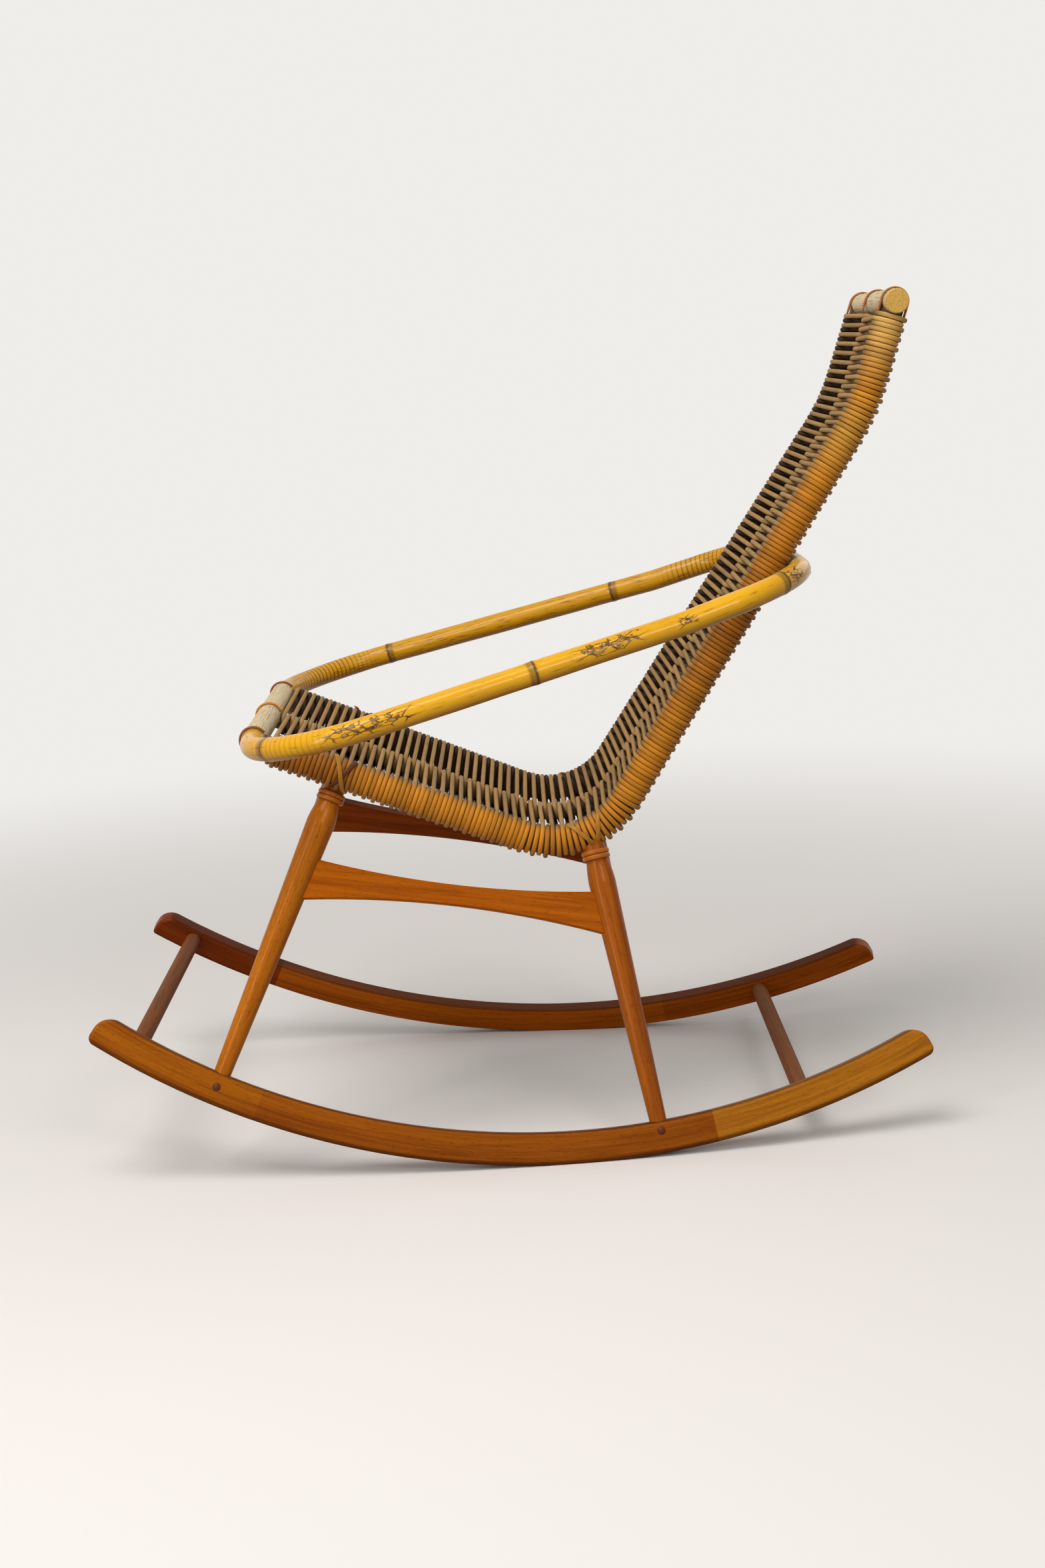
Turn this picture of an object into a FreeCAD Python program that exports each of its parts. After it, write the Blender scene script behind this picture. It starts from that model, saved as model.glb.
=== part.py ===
import FreeCAD, Part
import math
import os

# Rattan rocking chair. Millimetres, +Z up. The sitter faces -Y and +X is the sitter's left.
# Depths along Y and heights are given in the drawing pose, from the point where the rockers
# touch a level floor. The finished chair is then rocked back to where it comes to rest empty,
# and shifted so that the origin is the middle of its footprint on the floor.

# Rockers
SOLE_RADIUS = 944.0
ROCKER_DEPTH = 33.0
ROCKER_THICKNESS = 22.0
ROCKER_TRACK = 518.0
ROCKER_FRONT_REACH = 493.0
ROCKER_REAR_REACH = 444.0
ROCKER_NOSE_RADIUS = 20.0
ROCKER_HEEL_RADIUS = 9.0
ROCKER_EDGE_RADIUS = 4.0
LEFT_FRONT_GLUE_LINE = -313.0
LEFT_REAR_GLUE_LINE = 198.0
RIGHT_FRONT_GLUE_LINE = -338.0
RIGHT_REAR_GLUE_LINE = 177.0

# Side frames, each a rocker, two legs and a rail in one plane
FRAME_LEAN = 16.0
FRAME_TOE_IN = 3.1

# Legs, turned, each pinned in its rocker
FRONT_LEG_FOOT = -353.0
FRONT_LEG_RAKE = 21.9
FRONT_LEG_SHOULDER_RADIUS = 16.0
REAR_LEG_FOOT = 135.5
REAR_LEG_RAKE = -12.0
REAR_LEG_SHOULDER_RADIUS = 15.2
LEG_FOOT_RADIUS = 9.2
LEG_NECK_RADIUS = 12.0
LEG_NECK_TAPER = 26.0
LEG_TENON_RADIUS = 5.0
LEG_TENON_LENGTH = 26.0
LEG_TENON_SINK = 8.0
LEG_COPE_DEPTH = 12.0
PIN_RADIUS = 2.5
PIN_HEAD_RADIUS = 4.6
PIN_HEAD_HEIGHT = 2.2
PIN_BLIND_END = 4.0
FRONT_PIN_RISE = 1.0
REAR_PIN_RISE = 6.0

# Side rails, boards waisted between the legs
RAIL_FRONT_HEIGHT = 318.0
RAIL_REAR_HEIGHT = 273.0
RAIL_END_DEPTH = 49.5
RAIL_WAIST_DEPTH = 23.5
RAIL_THICKNESS = 16.0
RAIL_EDGE_BEVEL = 2.0
RAIL_DOWEL_RADIUS = 4.5
RAIL_DOWEL_LENGTH = 9.0

# Stretchers, round bars between the rockers
FRONT_STRETCHER = -440.0
REAR_STRETCHER = 296.0
STRETCHER_RADIUS = 9.7
STRETCHER_TENON_RADIUS = 4.5
STRETCHER_TENON_LENGTH = 12.0

# Bent poles of the seat and back: front end, lap corner, head corner, top end
SEAT_FRONT_Y = -313.6
SEAT_FRONT_Z = 458.5
SEAT_FRONT_DROP = 3.5
LAP_CORNER_Y = 56.9
LAP_CORNER_Z = 320.2
HEAD_CORNER_Y = 358.3
HEAD_CORNER_Z = 818.8
TOP_Y = 389.5
TOP_Z = 932.7
SEAT_FRONT_HALF = 175.0
LAP_HALF = 154.0
HEAD_HALF = 112.0
TOP_HALF = 106.0
LAP_BEND_RADIUS = 95.0
HEAD_BEND_RADIUS = 250.0
POLE_RADIUS = 13.3
MIDDLE_POLE_RADIUS = 8.0

# Front rail, top rail and the hoop that makes both arms
RAIL_POLE_RADIUS = 13.5
FRONT_RAIL_HALF = 178.0
TOP_RAIL_HALF = 129.0
RAIL_END_ROUND = 1.5
ARM_RADIUS = 13.0
HOOP_TILT = 16.6
HOOP_FRONT_HALF = 341.0
HOOP_FRONT_DROP = 4.6
HOOP_FRONT_BEND = 122.0
HOOP_KICK = 140.0
HOOP_KICK_DROP = 3.4
HOOP_KICK_BEND = 250.0
HOOP_REAR_HALF = 214.0
HOOP_REAR_RISE = 6.5
HOOP_REAR_BEND = 110.0
HOOP_REAR_GAP = 0.5
NAIL_RADIUS = 1.5
NAIL_HEAD_RADIUS = 3.5
NAIL_HEAD_HEIGHT = 1.2
NAIL_BITE = 12.0

# Woven reed: wraps of the side poles and turns across to the middle pole
REED = 5.0
REED_PITCH = 10.5
REED_FLATTENED = 4.4
WRAP_START = 19.0
WRAP_END = 17.0
LEFT_PHASE = 0.25
RIGHT_PHASE = 0.75

# Cane lashings
CANE_WIDTH = 4.6
CANE_THICKNESS = 1.5
CANE_CROSSING = 18.0
BAND_WIDTH = 5.4
BAND_THICKNESS = 3.4
BAND_CLEARANCE = 3.2

# Clearances between pieces that seat on each other
SEAT_GAP = 0.2
TURN_SLACK = 0.5
GLUE_GAP = 0.2

Vector = FreeCAD.Vector
X_AXIS = Vector(1, 0, 0)
Y_AXIS = Vector(0, 1, 0)
Z_AXIS = Vector(0, 0, 1)
ORIGIN = Vector(0, 0, 0)
FAR = 2000.0
BEYOND_TIPS = 60.0

WRAP_INNER = POLE_RADIUS + SEAT_GAP
WRAP_OUTER = WRAP_INNER + REED


# Curves and solids used all over the chair

class Straight:
    """A straight stretch of a pole's centre line."""

    def __init__(self, start, end):
        self.start = start
        self.end = end
        self.length = (end - start).Length
        self.direction = (end - start).normalize()

    def at(self, distance):
        return self.start + self.direction * distance, self.direction

    def trimmed(self, front, back):
        return Straight(self.at(front)[0], self.at(self.length - back)[0])

    def edge(self):
        return Part.LineSegment(self.start, self.end).toShape()

    def rod(self, radius):
        return Part.makeCylinder(radius, self.length, self.start, self.direction)


class Bend:
    """A round bend of a pole's centre line, tangent to its neighbours."""

    def __init__(self, start, direction, centre, axis, angle):
        self.start = start
        self.direction = direction
        self.centre = centre
        self.axis = axis
        self.angle = angle
        self.radius = (start - centre).Length
        self.length = self.radius * angle

    def at(self, distance):
        turn = FreeCAD.Rotation(self.axis, math.degrees(distance / self.radius))
        point = self.centre + turn.multVec(self.start - self.centre)
        return point, turn.multVec(self.direction)

    def edge(self):
        points = [self.at(self.length * share)[0] for share in (0.0, 0.5, 1.0)]
        return Part.Arc(*points).toShape()

    def rod(self, radius):
        ring = Part.Wire(Part.makeCircle(radius, self.start, self.direction))
        return Part.Face(ring).revolve(self.centre, self.axis, math.degrees(self.angle))

    def tangents(self, count):
        """Corners of the tangents round the bend, the first and last in line with its neighbours."""
        step = self.angle / count
        points = [self.start]
        for index in range(count):
            turn = FreeCAD.Rotation(self.axis, math.degrees((index + 0.5) * step))
            arm = turn.multVec(self.start - self.centre)
            points.append(self.centre + arm * (1 / math.cos(step / 2)))
        return points + [self.at(self.length)[0]]


def bent_line(points, radii):
    """Straights through the points, with a bend of the given radius at each inner point."""
    stretches = []
    start = points[0]
    for before, corner, after, radius in zip(points, points[1:], points[2:], radii):
        into = (corner - before).normalize()
        out = (after - corner).normalize()
        turn = into.getAngle(out)
        tangent = radius * math.tan(turn / 2)
        bend_start = corner - into * tangent
        axis = into.cross(out).normalize()
        centre = bend_start + axis.cross(into) * radius
        stretches.append(Straight(start, bend_start))
        stretches.append(Bend(bend_start, into, centre, axis, turn))
        start = corner + out * tangent
    stretches.append(Straight(start, points[-1]))
    return stretches


def joined(shapes):
    """One solid from shapes that meet or overlap."""
    if len(shapes) == 1:
        return shapes[0]
    return shapes[0].multiFuse(shapes[1:]).removeSplitter()


def rod_along(stretches, radius):
    return joined([stretch.rod(radius) for stretch in stretches])


def biggest(shape):
    return max(shape.Solids, key=lambda solid: solid.Volume)


def mirrored(shape):
    return shape.mirror(ORIGIN, X_AXIS)


def ring(inner, outer, width, centre, axis):
    """A flat band round an axis, its width centred on the given point."""
    base = centre - axis * (width / 2)
    band = Part.makeCylinder(outer, width, base, axis)
    return band.cut(Part.makeCylinder(inner, width, base, axis))


def turned(profile_edges, base, axis):
    """A turned piece: the profile lies in the XZ plane with its axis along Z."""
    face = Part.Face(Part.Wire(profile_edges))
    solid = face.revolve(ORIGIN, Z_AXIS, 360)
    solid.Placement = FreeCAD.Placement(base, FreeCAD.Rotation(Z_AXIS, axis))
    return solid


def line(a, b):
    return Part.LineSegment(a, b).toShape()


# The side frame's own plane: u across the cheek, y along the chair, h up the lean

LEAN = math.radians(FRAME_LEAN)
LEANED = FreeCAD.Placement(ORIGIN, FreeCAD.Rotation(Y_AXIS, -FRAME_LEAN))
TOED = FreeCAD.Placement(Vector(ROCKER_TRACK / 2, 0, 0), FreeCAD.Rotation(Z_AXIS, FRAME_TOE_IN))
FRAME = TOED.multiply(LEANED)
CHEEK = ROCKER_THICKNESS / 2

# In that plane the sole's circle is steeper than its upright view by the lean
PLANE_RADIUS = SOLE_RADIUS * math.cos(LEAN)
TOP_EDGE_RADIUS = PLANE_RADIUS - ROCKER_DEPTH
MID_RADIUS = PLANE_RADIUS - ROCKER_DEPTH / 2


def in_frame(u, y, h):
    return FRAME.multVec(Vector(u, y, h))


def arc_height(radius, y):
    return PLANE_RADIUS - math.sqrt(radius ** 2 - y ** 2)


def arc_point(radius, y):
    return Vector(0, y, arc_height(radius, y))


def on_radius(radius, y):
    """The point of a concentric arc that lies on the radius through the sole at y."""
    angle = math.asin(y / PLANE_RADIUS)
    return Vector(0, radius * math.sin(angle), PLANE_RADIUS - radius * math.cos(angle))


def rocker_block():
    """A whole rocker before it is drilled: leaning cheeks, level sole, rounded ends."""
    allowance = CHEEK * math.tan(LEAN)
    outer = PLANE_RADIUS + allowance
    front = -ROCKER_FRONT_REACH
    rear = ROCKER_REAR_REACH
    sole = Part.Arc(on_radius(outer, front), arc_point(outer, 0), on_radius(outer, rear))
    top = Part.Arc(on_radius(TOP_EDGE_RADIUS, rear), arc_point(TOP_EDGE_RADIUS, 0),
                   on_radius(TOP_EDGE_RADIUS, front))
    edges = [
        sole.toShape(),
        line(on_radius(outer, rear), on_radius(TOP_EDGE_RADIUS, rear)),
        top.toShape(),
        line(on_radius(TOP_EDGE_RADIUS, front), on_radius(outer, front)),
    ]
    face = Part.Face(Part.Wire(edges))
    face.translate(Vector(-CHEEK, 0, 0))
    block = face.extrude(Vector(ROCKER_THICKNESS, 0, 0))
    for radius, at in ((ROCKER_NOSE_RADIUS, TOP_EDGE_RADIUS), (ROCKER_HEEL_RADIUS, outer)):
        corners = [on_radius(at, front), on_radius(at, rear)]
        block = block.makeFillet(radius, edges_across(block, corners))
    block = block.makeFillet(ROCKER_EDGE_RADIUS, top_edges(block))
    block.Placement = LEANED
    level = Part.makeCylinder(SOLE_RADIUS, FAR, Vector(-FAR / 2, 0, SOLE_RADIUS), X_AXIS)
    block = block.common(level)
    block.Placement = TOED.multiply(block.Placement)
    return block


def edges_across(block, corners):
    """The straight edges across a rocker that pass through the given profile corners."""
    found = []
    for edge in block.Edges:
        middle = edge.CenterOfMass
        for corner in corners:
            if abs(middle.y - corner.y) < 0.01 and abs(middle.z - corner.z) < 0.01:
                found.append(edge)
    return found


def top_edges(block):
    """The two long upper edges of a rocker."""
    found = []
    for edge in block.Edges:
        if isinstance(edge.Curve, Part.Circle) and abs(edge.Curve.Radius - TOP_EDGE_RADIUS) < 0.01:
            found.append(edge)
    return found


def wedge(front_y, rear_y):
    """The stretch of the side frame between two radial glue joints."""
    points = [Vector(0, 0, PLANE_RADIUS)]
    for y in (front_y, rear_y):
        away = (on_radius(PLANE_RADIUS, y) - points[0]).normalize()
        points.append(points[0] + away * FAR)
    points.append(points[0])
    face = Part.Face(Part.makePolygon(points))
    face.translate(Vector(-ROCKER_THICKNESS, 0, 0))
    block = face.extrude(Vector(2 * ROCKER_THICKNESS, 0, 0))
    block.Placement = FRAME
    return block


def glued_lengths(rocker, front_joint, rear_joint):
    """The three lengths of a left rocker."""
    rooms = {
        "front": wedge(-ROCKER_FRONT_REACH - BEYOND_TIPS, front_joint),
        "middle": wedge(front_joint, rear_joint),
        "rear": wedge(rear_joint, ROCKER_REAR_REACH + BEYOND_TIPS),
    }
    return {name: biggest(rocker.common(room)) for name, room in rooms.items()}


# Poles of the seat and back

def pole_points(front_half, lap_half, head_half, top_half):
    return [
        Vector(front_half, SEAT_FRONT_Y, SEAT_FRONT_Z - SEAT_FRONT_DROP),
        Vector(lap_half, LAP_CORNER_Y, LAP_CORNER_Z),
        Vector(head_half, HEAD_CORNER_Y, HEAD_CORNER_Z),
        Vector(top_half, TOP_Y, TOP_Z),
    ]


BEND_RADII = (LAP_BEND_RADIUS, HEAD_BEND_RADIUS)
SIDE_LINE = bent_line(pole_points(SEAT_FRONT_HALF, LAP_HALF, HEAD_HALF, TOP_HALF), BEND_RADII)
MIDDLE_LINE = bent_line(pole_points(0, 0, 0, 0), BEND_RADII)
SEAT_RUN, LAP_BEND, BACK_RUN, HEAD_BEND, HEAD_RUN = SIDE_LINE
FRONT_RAIL_AT = Vector(0, SEAT_FRONT_Y, SEAT_FRONT_Z)
TOP_RAIL_AT = Vector(0, TOP_Y, TOP_Z)


def straight_rail(at, half):
    return Part.makeCylinder(RAIL_POLE_RADIUS, 2 * half, at - X_AXIS * half, X_AXIS)


def end_rounded(rail):
    rims = [edge for edge in rail.Edges if isinstance(edge.Curve, Part.Circle)]
    return rail.makeFillet(RAIL_END_ROUND, rims)


def rail_seat(at):
    """What a pole's end is hollowed by, to sit on a rail."""
    return Part.makeCylinder(RAIL_POLE_RADIUS + SEAT_GAP, FAR, at - X_AXIS * FAR / 2, X_AXIS)


def pole(stretches, radius):
    rod = rod_along(stretches, radius)
    return biggest(rod.cut(rail_seat(FRONT_RAIL_AT)).cut(rail_seat(TOP_RAIL_AT)))


# Woven reed

def across(direction):
    """The pole's run and the sitter's side, both square to X."""
    run = Vector(0, direction.y, direction.z).normalize()
    return run, X_AXIS.cross(run)


def reed_turn(stretch, distance):
    """One turn of reed: from the side pole over the middle pole and back behind both."""
    point, direction = stretch.at(distance)
    run, face_side = across(direction)
    at_side = WRAP_INNER + (REED - REED_FLATTENED) / 2
    at_middle = MIDDLE_POLE_RADIUS + TURN_SLACK
    outer_side = at_side + REED_FLATTENED
    outer_middle = at_middle + REED_FLATTENED
    outline = [
        (point.x, outer_side), (-at_middle, outer_middle), (-outer_middle, at_middle),
        (-outer_middle, -at_middle), (-at_middle, -outer_middle), (point.x, -outer_side),
        (point.x, -at_side), (-at_middle, -at_middle), (-at_middle, at_middle),
        (point.x, at_side),
    ]
    base = Vector(0, point.y, point.z) - run * (REED / 2)
    corners = [base + X_AXIS * x + face_side * n for x, n in outline]
    return Part.Face(Part.makePolygon(corners + corners[:1])).extrude(run * REED)


def turn_count(stretch):
    """How many turns a stretch takes, the pitch kept on a bend's inner side."""
    pitch = REED_PITCH
    if isinstance(stretch, Bend):
        inner = stretch.radius - MIDDLE_POLE_RADIUS - TURN_SLACK - REED_FLATTENED
        pitch = REED_PITCH * stretch.radius / inner
    return int(stretch.length / pitch)


def turn_places(stretch, phase):
    spread = stretch.length / turn_count(stretch)
    return [(index + phase) * spread for index in range(turn_count(stretch))]


def sleeve_rod(stretch, radius):
    """A rod of the wraps' outline: round a bend, each wrap is a short straight of its own."""
    if isinstance(stretch, Straight):
        return stretch.rod(radius)
    corners = stretch.tangents(turn_count(stretch))
    outline = Part.Wire(Part.makeCircle(radius, stretch.start, stretch.direction))
    solid, rounded, mitred = True, False, 1
    return Part.makePolygon(corners).makePipeShell([outline], solid, rounded, mitred)


def span_room(stretch):
    """What the spans across take up, from the left side pole in to the middle one."""
    point, direction = stretch.at(0)
    run, face_side = across(direction)
    reach = face_side * (WRAP_INNER + (REED + REED_FLATTENED) / 2 + SEAT_GAP)
    middle = Vector(0, point.y, point.z)
    corners = [point + reach, middle + reach, middle - reach, point - reach]
    face = Part.Face(Part.makePolygon(corners + corners[:1]))
    if isinstance(stretch, Straight):
        return face.extrude(stretch.direction * stretch.length)
    return face.revolve(stretch.centre, stretch.axis, math.degrees(stretch.angle))


def weave(stretches, phase):
    """The wrapped side pole and the turns across, one reed wound on without a break."""
    rods = [joined([sleeve_rod(stretch, radius) for stretch in stretches])
            for radius in (WRAP_OUTER, WRAP_INNER)]
    sleeve = rods[0].cut(rods[1])
    turns = []
    for stretch in stretches:
        turns += [reed_turn(stretch, distance) for distance in turn_places(stretch, phase)]
    return sleeve.multiFuse(turns)


# Legs and what holds them

class Leg:
    """One leg of the left side frame, from the rocker's mid depth to its pole."""

    def __init__(self, foot, rake, shoulder, pin_rise):
        self.shoulder = shoulder
        slope = math.radians(rake)
        mid = arc_height(MID_RADIUS, foot)
        self.base = in_frame(0, foot, mid)
        tip = in_frame(0, foot + FAR * math.sin(slope), mid + FAR * math.cos(slope))
        self.axis = (tip - self.base).normalize()
        self.pin_at = self.base + self.axis * pin_rise
        path = Part.Wire([stretch.edge() for stretch in SIDE_LINE])
        reach = line(self.base, self.base + self.axis * SEAT_FRONT_Z)
        near = reach.distToShape(path)[1][0]
        self.meet = (near[0] - self.base).Length
        self.pole_at = near[1]
        self.pole_direction = self.direction_at(near[1])
        self.band_top = self.meet - WRAP_OUTER - BAND_CLEARANCE
        self.band_bottom = self.band_top - 2 * BAND_WIDTH - GLUE_GAP

    def direction_at(self, point):
        stretch = min(SIDE_LINE, key=lambda each: each.edge().distToShape(Part.Vertex(point))[0])
        share = stretch.edge().Curve.parameter(point)
        return Vector(*stretch.edge().tangentAt(share)).normalize()

    def at_height(self, h):
        """The point of the axis at a height up the frame, and that distance along it."""
        rise = in_frame(0, 0, 1) - in_frame(0, 0, 0)
        start = (self.base - in_frame(0, 0, 0)).dot(rise)
        distance = (h - start) / self.axis.dot(rise)
        return self.base + self.axis * distance

    def turning(self, grown=0.0):
        """The turned body, its foot not yet fitted to the rocker."""
        foot = LEG_FOOT_RADIUS + grown
        shoulder = self.shoulder + grown
        neck = LEG_NECK_RADIUS + grown
        low = self.band_bottom - LEG_NECK_TAPER
        top = self.meet - WRAP_OUTER + LEG_COPE_DEPTH
        swell = Vector((2 * shoulder + neck) / 3, 0, low + LEG_NECK_TAPER / 2)
        edges = [
            line(ORIGIN, Vector(foot, 0, 0)),
            line(Vector(foot, 0, 0), Vector(shoulder, 0, low)),
            Part.Arc(Vector(shoulder, 0, low), swell, Vector(neck, 0, self.band_bottom)).toShape(),
            line(Vector(neck, 0, self.band_bottom), Vector(neck, 0, top)),
            line(Vector(neck, 0, top), Vector(0, 0, top)),
            line(Vector(0, 0, top), ORIGIN),
        ]
        return turned(edges, self.base, self.axis)

    def tenon(self, grown=0.0):
        start = self.base - self.axis * (LEG_TENON_SINK + grown)
        return Part.makeCylinder(LEG_TENON_RADIUS + grown, LEG_TENON_LENGTH + grown, start, self.axis)

    def pin_axis(self):
        return (in_frame(1, 0, 0) - in_frame(0, 0, 0)).normalize()

    def pin(self):
        """The domed peg through the cheek and the tenon."""
        length = ROCKER_THICKNESS - PIN_BLIND_END
        seat = self.pin_at + self.pin_axis() * CHEEK
        shank = Part.makeCylinder(PIN_RADIUS, length, seat, self.pin_axis() * -1)
        dome_radius = (PIN_HEAD_RADIUS ** 2 + PIN_HEAD_HEIGHT ** 2) / (2 * PIN_HEAD_HEIGHT)
        ball = Part.makeSphere(dome_radius, seat + self.pin_axis() * (PIN_HEAD_HEIGHT - dome_radius))
        room = Part.makeCylinder(2 * PIN_HEAD_RADIUS, 2 * PIN_HEAD_HEIGHT, seat, self.pin_axis())
        return shank.fuse(ball.common(room))

    def pin_hole(self):
        length = ROCKER_THICKNESS - PIN_BLIND_END + SEAT_GAP
        mouth = self.pin_at + self.pin_axis() * (CHEEK + SEAT_GAP)
        return Part.makeCylinder(PIN_RADIUS + SEAT_GAP, length + SEAT_GAP, mouth, self.pin_axis() * -1)

    def lashing(self, leg_solid):
        """Two turns of cane round the neck and two strips crossed over the pole's outer side.

        The strips are tucked in where the reed leaves the wrapped pole for the middle one.
        """
        turns = []
        band_inner = LEG_NECK_RADIUS + SEAT_GAP
        band_outer = band_inner + BAND_THICKNESS
        for index in (0, 1):
            middle = self.band_top - BAND_WIDTH / 2 - index * (BAND_WIDTH + GLUE_GAP)
            turns.append(ring(band_inner, band_outer, BAND_WIDTH,
                              self.base + self.axis * middle, self.axis))
        slant = math.radians(CANE_CROSSING)
        rim_lift = CANE_WIDTH / 2 * math.sin(slant)
        inner = (WRAP_OUTER + SEAT_GAP + rim_lift) / math.cos(slant)
        strips = []
        for side in (1, -1):
            tilt = FreeCAD.Rotation(self.pole_direction.cross(self.axis), side * CANE_CROSSING)
            strips.append(ring(inner, inner + CANE_THICKNESS, CANE_WIDTH, self.pole_at,
                               tilt.multVec(self.pole_direction)))
        outer_half = Part.makeBox(FAR, FAR, FAR, self.pole_at - Vector(0, FAR / 2, FAR / 2))
        rim = self.base + self.axis * (self.band_top + SEAT_GAP)
        band_room = Part.makeCylinder(band_outer + SEAT_GAP, FAR, rim, self.axis * -1)
        crossed = strips[0].fuse(strips[1]).common(outer_half).cut(leg_solid).cut(band_room)
        return Part.makeCompound(turns + [biggest(crossed)])


def side_rail(front, rear):
    """A waisted board between two legs, with a round dowel at each end."""
    start = front.at_height(RAIL_FRONT_HEIGHT)
    end = rear.at_height(RAIL_REAR_HEIGHT)
    along = (end - start).normalize()
    thick = front.pin_axis()
    up = thick.cross(along)
    middle = (start + end) * 0.5
    half_end = up * (RAIL_END_DEPTH / 2)
    half_waist = up * (RAIL_WAIST_DEPTH / 2)
    edges = [
        Part.Arc(start + half_end, middle + half_waist, end + half_end).toShape(),
        line(end + half_end, end - half_end),
        Part.Arc(end - half_end, middle - half_waist, start - half_end).toShape(),
        line(start - half_end, start + half_end),
    ]
    face = Part.Face(Part.Wire(edges))
    face.translate(thick * (-RAIL_THICKNESS / 2))
    board = face.extrude(thick * RAIL_THICKNESS)
    long_edges = [edge for edge in board.Edges if isinstance(edge.Curve, Part.Circle)]
    board = board.makeChamfer(RAIL_EDGE_BEVEL, long_edges)
    for leg in (front, rear):
        board = biggest(board.cut(leg.turning(SEAT_GAP)))
    return board.fuse(rail_dowels(front, rear, 0.0)).removeSplitter()


def rail_dowels(front, rear, grown):
    """The dowels at a rail's ends, or, grown, the holes that take them."""
    start = front.at_height(RAIL_FRONT_HEIGHT)
    end = rear.at_height(RAIL_REAR_HEIGHT)
    along = (end - start).normalize()
    length = RAIL_DOWEL_LENGTH + RAIL_END_DEPTH / 2 + grown
    dowels = []
    for leg, at, inward in ((front, start, along), (rear, end, along * -1)):
        bite = leg.shoulder - RAIL_DOWEL_LENGTH - grown
        dowels.append(Part.makeCylinder(RAIL_DOWEL_RADIUS + grown, length, at + inward * bite, inward))
    return Part.makeCompound(dowels)


# Stretchers

def inside_cheek(depth):
    """All that lies inside the left rocker's inner cheek, or deeper into it by a depth."""
    room = Part.makeBox(FAR, 2 * FAR, 2 * FAR, Vector(-FAR - CHEEK + depth, -FAR, -FAR))
    room.Placement = FRAME.multiply(room.Placement)
    return room


def between_rockers(shape, depth):
    room = inside_cheek(depth)
    return shape.common(room).common(mirrored(room))


def stretcher_at(y):
    return in_frame(0, y, arc_height(MID_RADIUS, y))


def cross_rod(at, radius):
    return Part.makeCylinder(radius, FAR, Vector(-FAR / 2, at.y, at.z), X_AXIS)


def stretcher(y):
    at = stretcher_at(y)
    body = between_rockers(cross_rod(at, STRETCHER_RADIUS), -SEAT_GAP)
    tenon = between_rockers(cross_rod(at, STRETCHER_TENON_RADIUS), STRETCHER_TENON_LENGTH)
    return body.fuse(tenon)


def stretcher_socket(y):
    rod = cross_rod(stretcher_at(y), STRETCHER_TENON_RADIUS + SEAT_GAP)
    return between_rockers(rod, STRETCHER_TENON_LENGTH + SEAT_GAP)


# Hoop that makes both arms

def hoop_point(x, along, drop=0.0):
    """A point of the hoop's tilted plane, or below it by a drop."""
    tilt = math.radians(HOOP_TILT)
    y = SEAT_FRONT_Y + along * math.cos(tilt) + drop * math.sin(tilt)
    z = SEAT_FRONT_Z + along * math.sin(tilt) - drop * math.cos(tilt)
    return Vector(x, y, z)


def hoop_length():
    """How far up the hoop's plane its rear bar lies, just behind the wrapped back."""
    run, face_side = across(BACK_RUN.direction)
    behind = face_side * -1
    offset = WRAP_OUTER + ARM_RADIUS + HOOP_REAR_GAP
    corner = Vector(0, LAP_CORNER_Y, LAP_CORNER_Z)
    step = hoop_point(0, 1) - hoop_point(0, 0)
    return (offset - (hoop_point(0, 0) - corner).dot(behind)) / step.dot(behind)


HOOP_LENGTH = hoop_length()


def rear_bar(x):
    """A point of the hoop's rear bar, which lies a little up the back from the arms' plane."""
    run, face_side = across(BACK_RUN.direction)
    return hoop_point(x, HOOP_LENGTH) + run * HOOP_REAR_RISE


def arm_hoop():
    """One bent pole: from the front rail round both arms and behind the back.

    Each arm hangs a little below the hoop's plane, and kicks up to the rear bar.
    """
    start = FRONT_RAIL_HALF + GLUE_GAP / 2
    taper = (HOOP_FRONT_HALF - HOOP_REAR_HALF) / HOOP_LENGTH
    half = [hoop_point(start, 0), hoop_point(HOOP_FRONT_HALF, 0, HOOP_FRONT_DROP),
            hoop_point(HOOP_REAR_HALF + HOOP_KICK * taper, HOOP_LENGTH - HOOP_KICK, HOOP_KICK_DROP),
            rear_bar(HOOP_REAR_HALF)]
    other = [Vector(-point.x, point.y, point.z) for point in reversed(half)]
    bends = (HOOP_FRONT_BEND, HOOP_KICK_BEND, HOOP_REAR_BEND)
    return rod_along(bent_line(half + other, bends + bends[::-1]), ARM_RADIUS)


def nail_line():
    """Where a nail goes through the rear bar into the left pole: its head and its direction."""
    run, face_side = across(BACK_RUN.direction)
    bar = rear_bar(0)
    level = (bar - BACK_RUN.start).dot(run) / BACK_RUN.direction.dot(run)
    at = Vector(BACK_RUN.at(level)[0].x, bar.y, bar.z)
    return at - face_side * ARM_RADIUS, face_side


def nail(grown=0.0):
    head, inward = nail_line()
    length = 2 * ARM_RADIUS + HOOP_REAR_GAP + REED + NAIL_BITE
    shank = Part.makeCylinder(NAIL_RADIUS + grown, length + grown, head, inward)
    cap_base = head - inward * NAIL_HEAD_HEIGHT
    cap = Part.makeCylinder(NAIL_HEAD_RADIUS + grown, NAIL_HEAD_HEIGHT + grown, cap_base, inward)
    return shank.fuse(cap)


# Cane loops that tie the poles' ends to the rails

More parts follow.
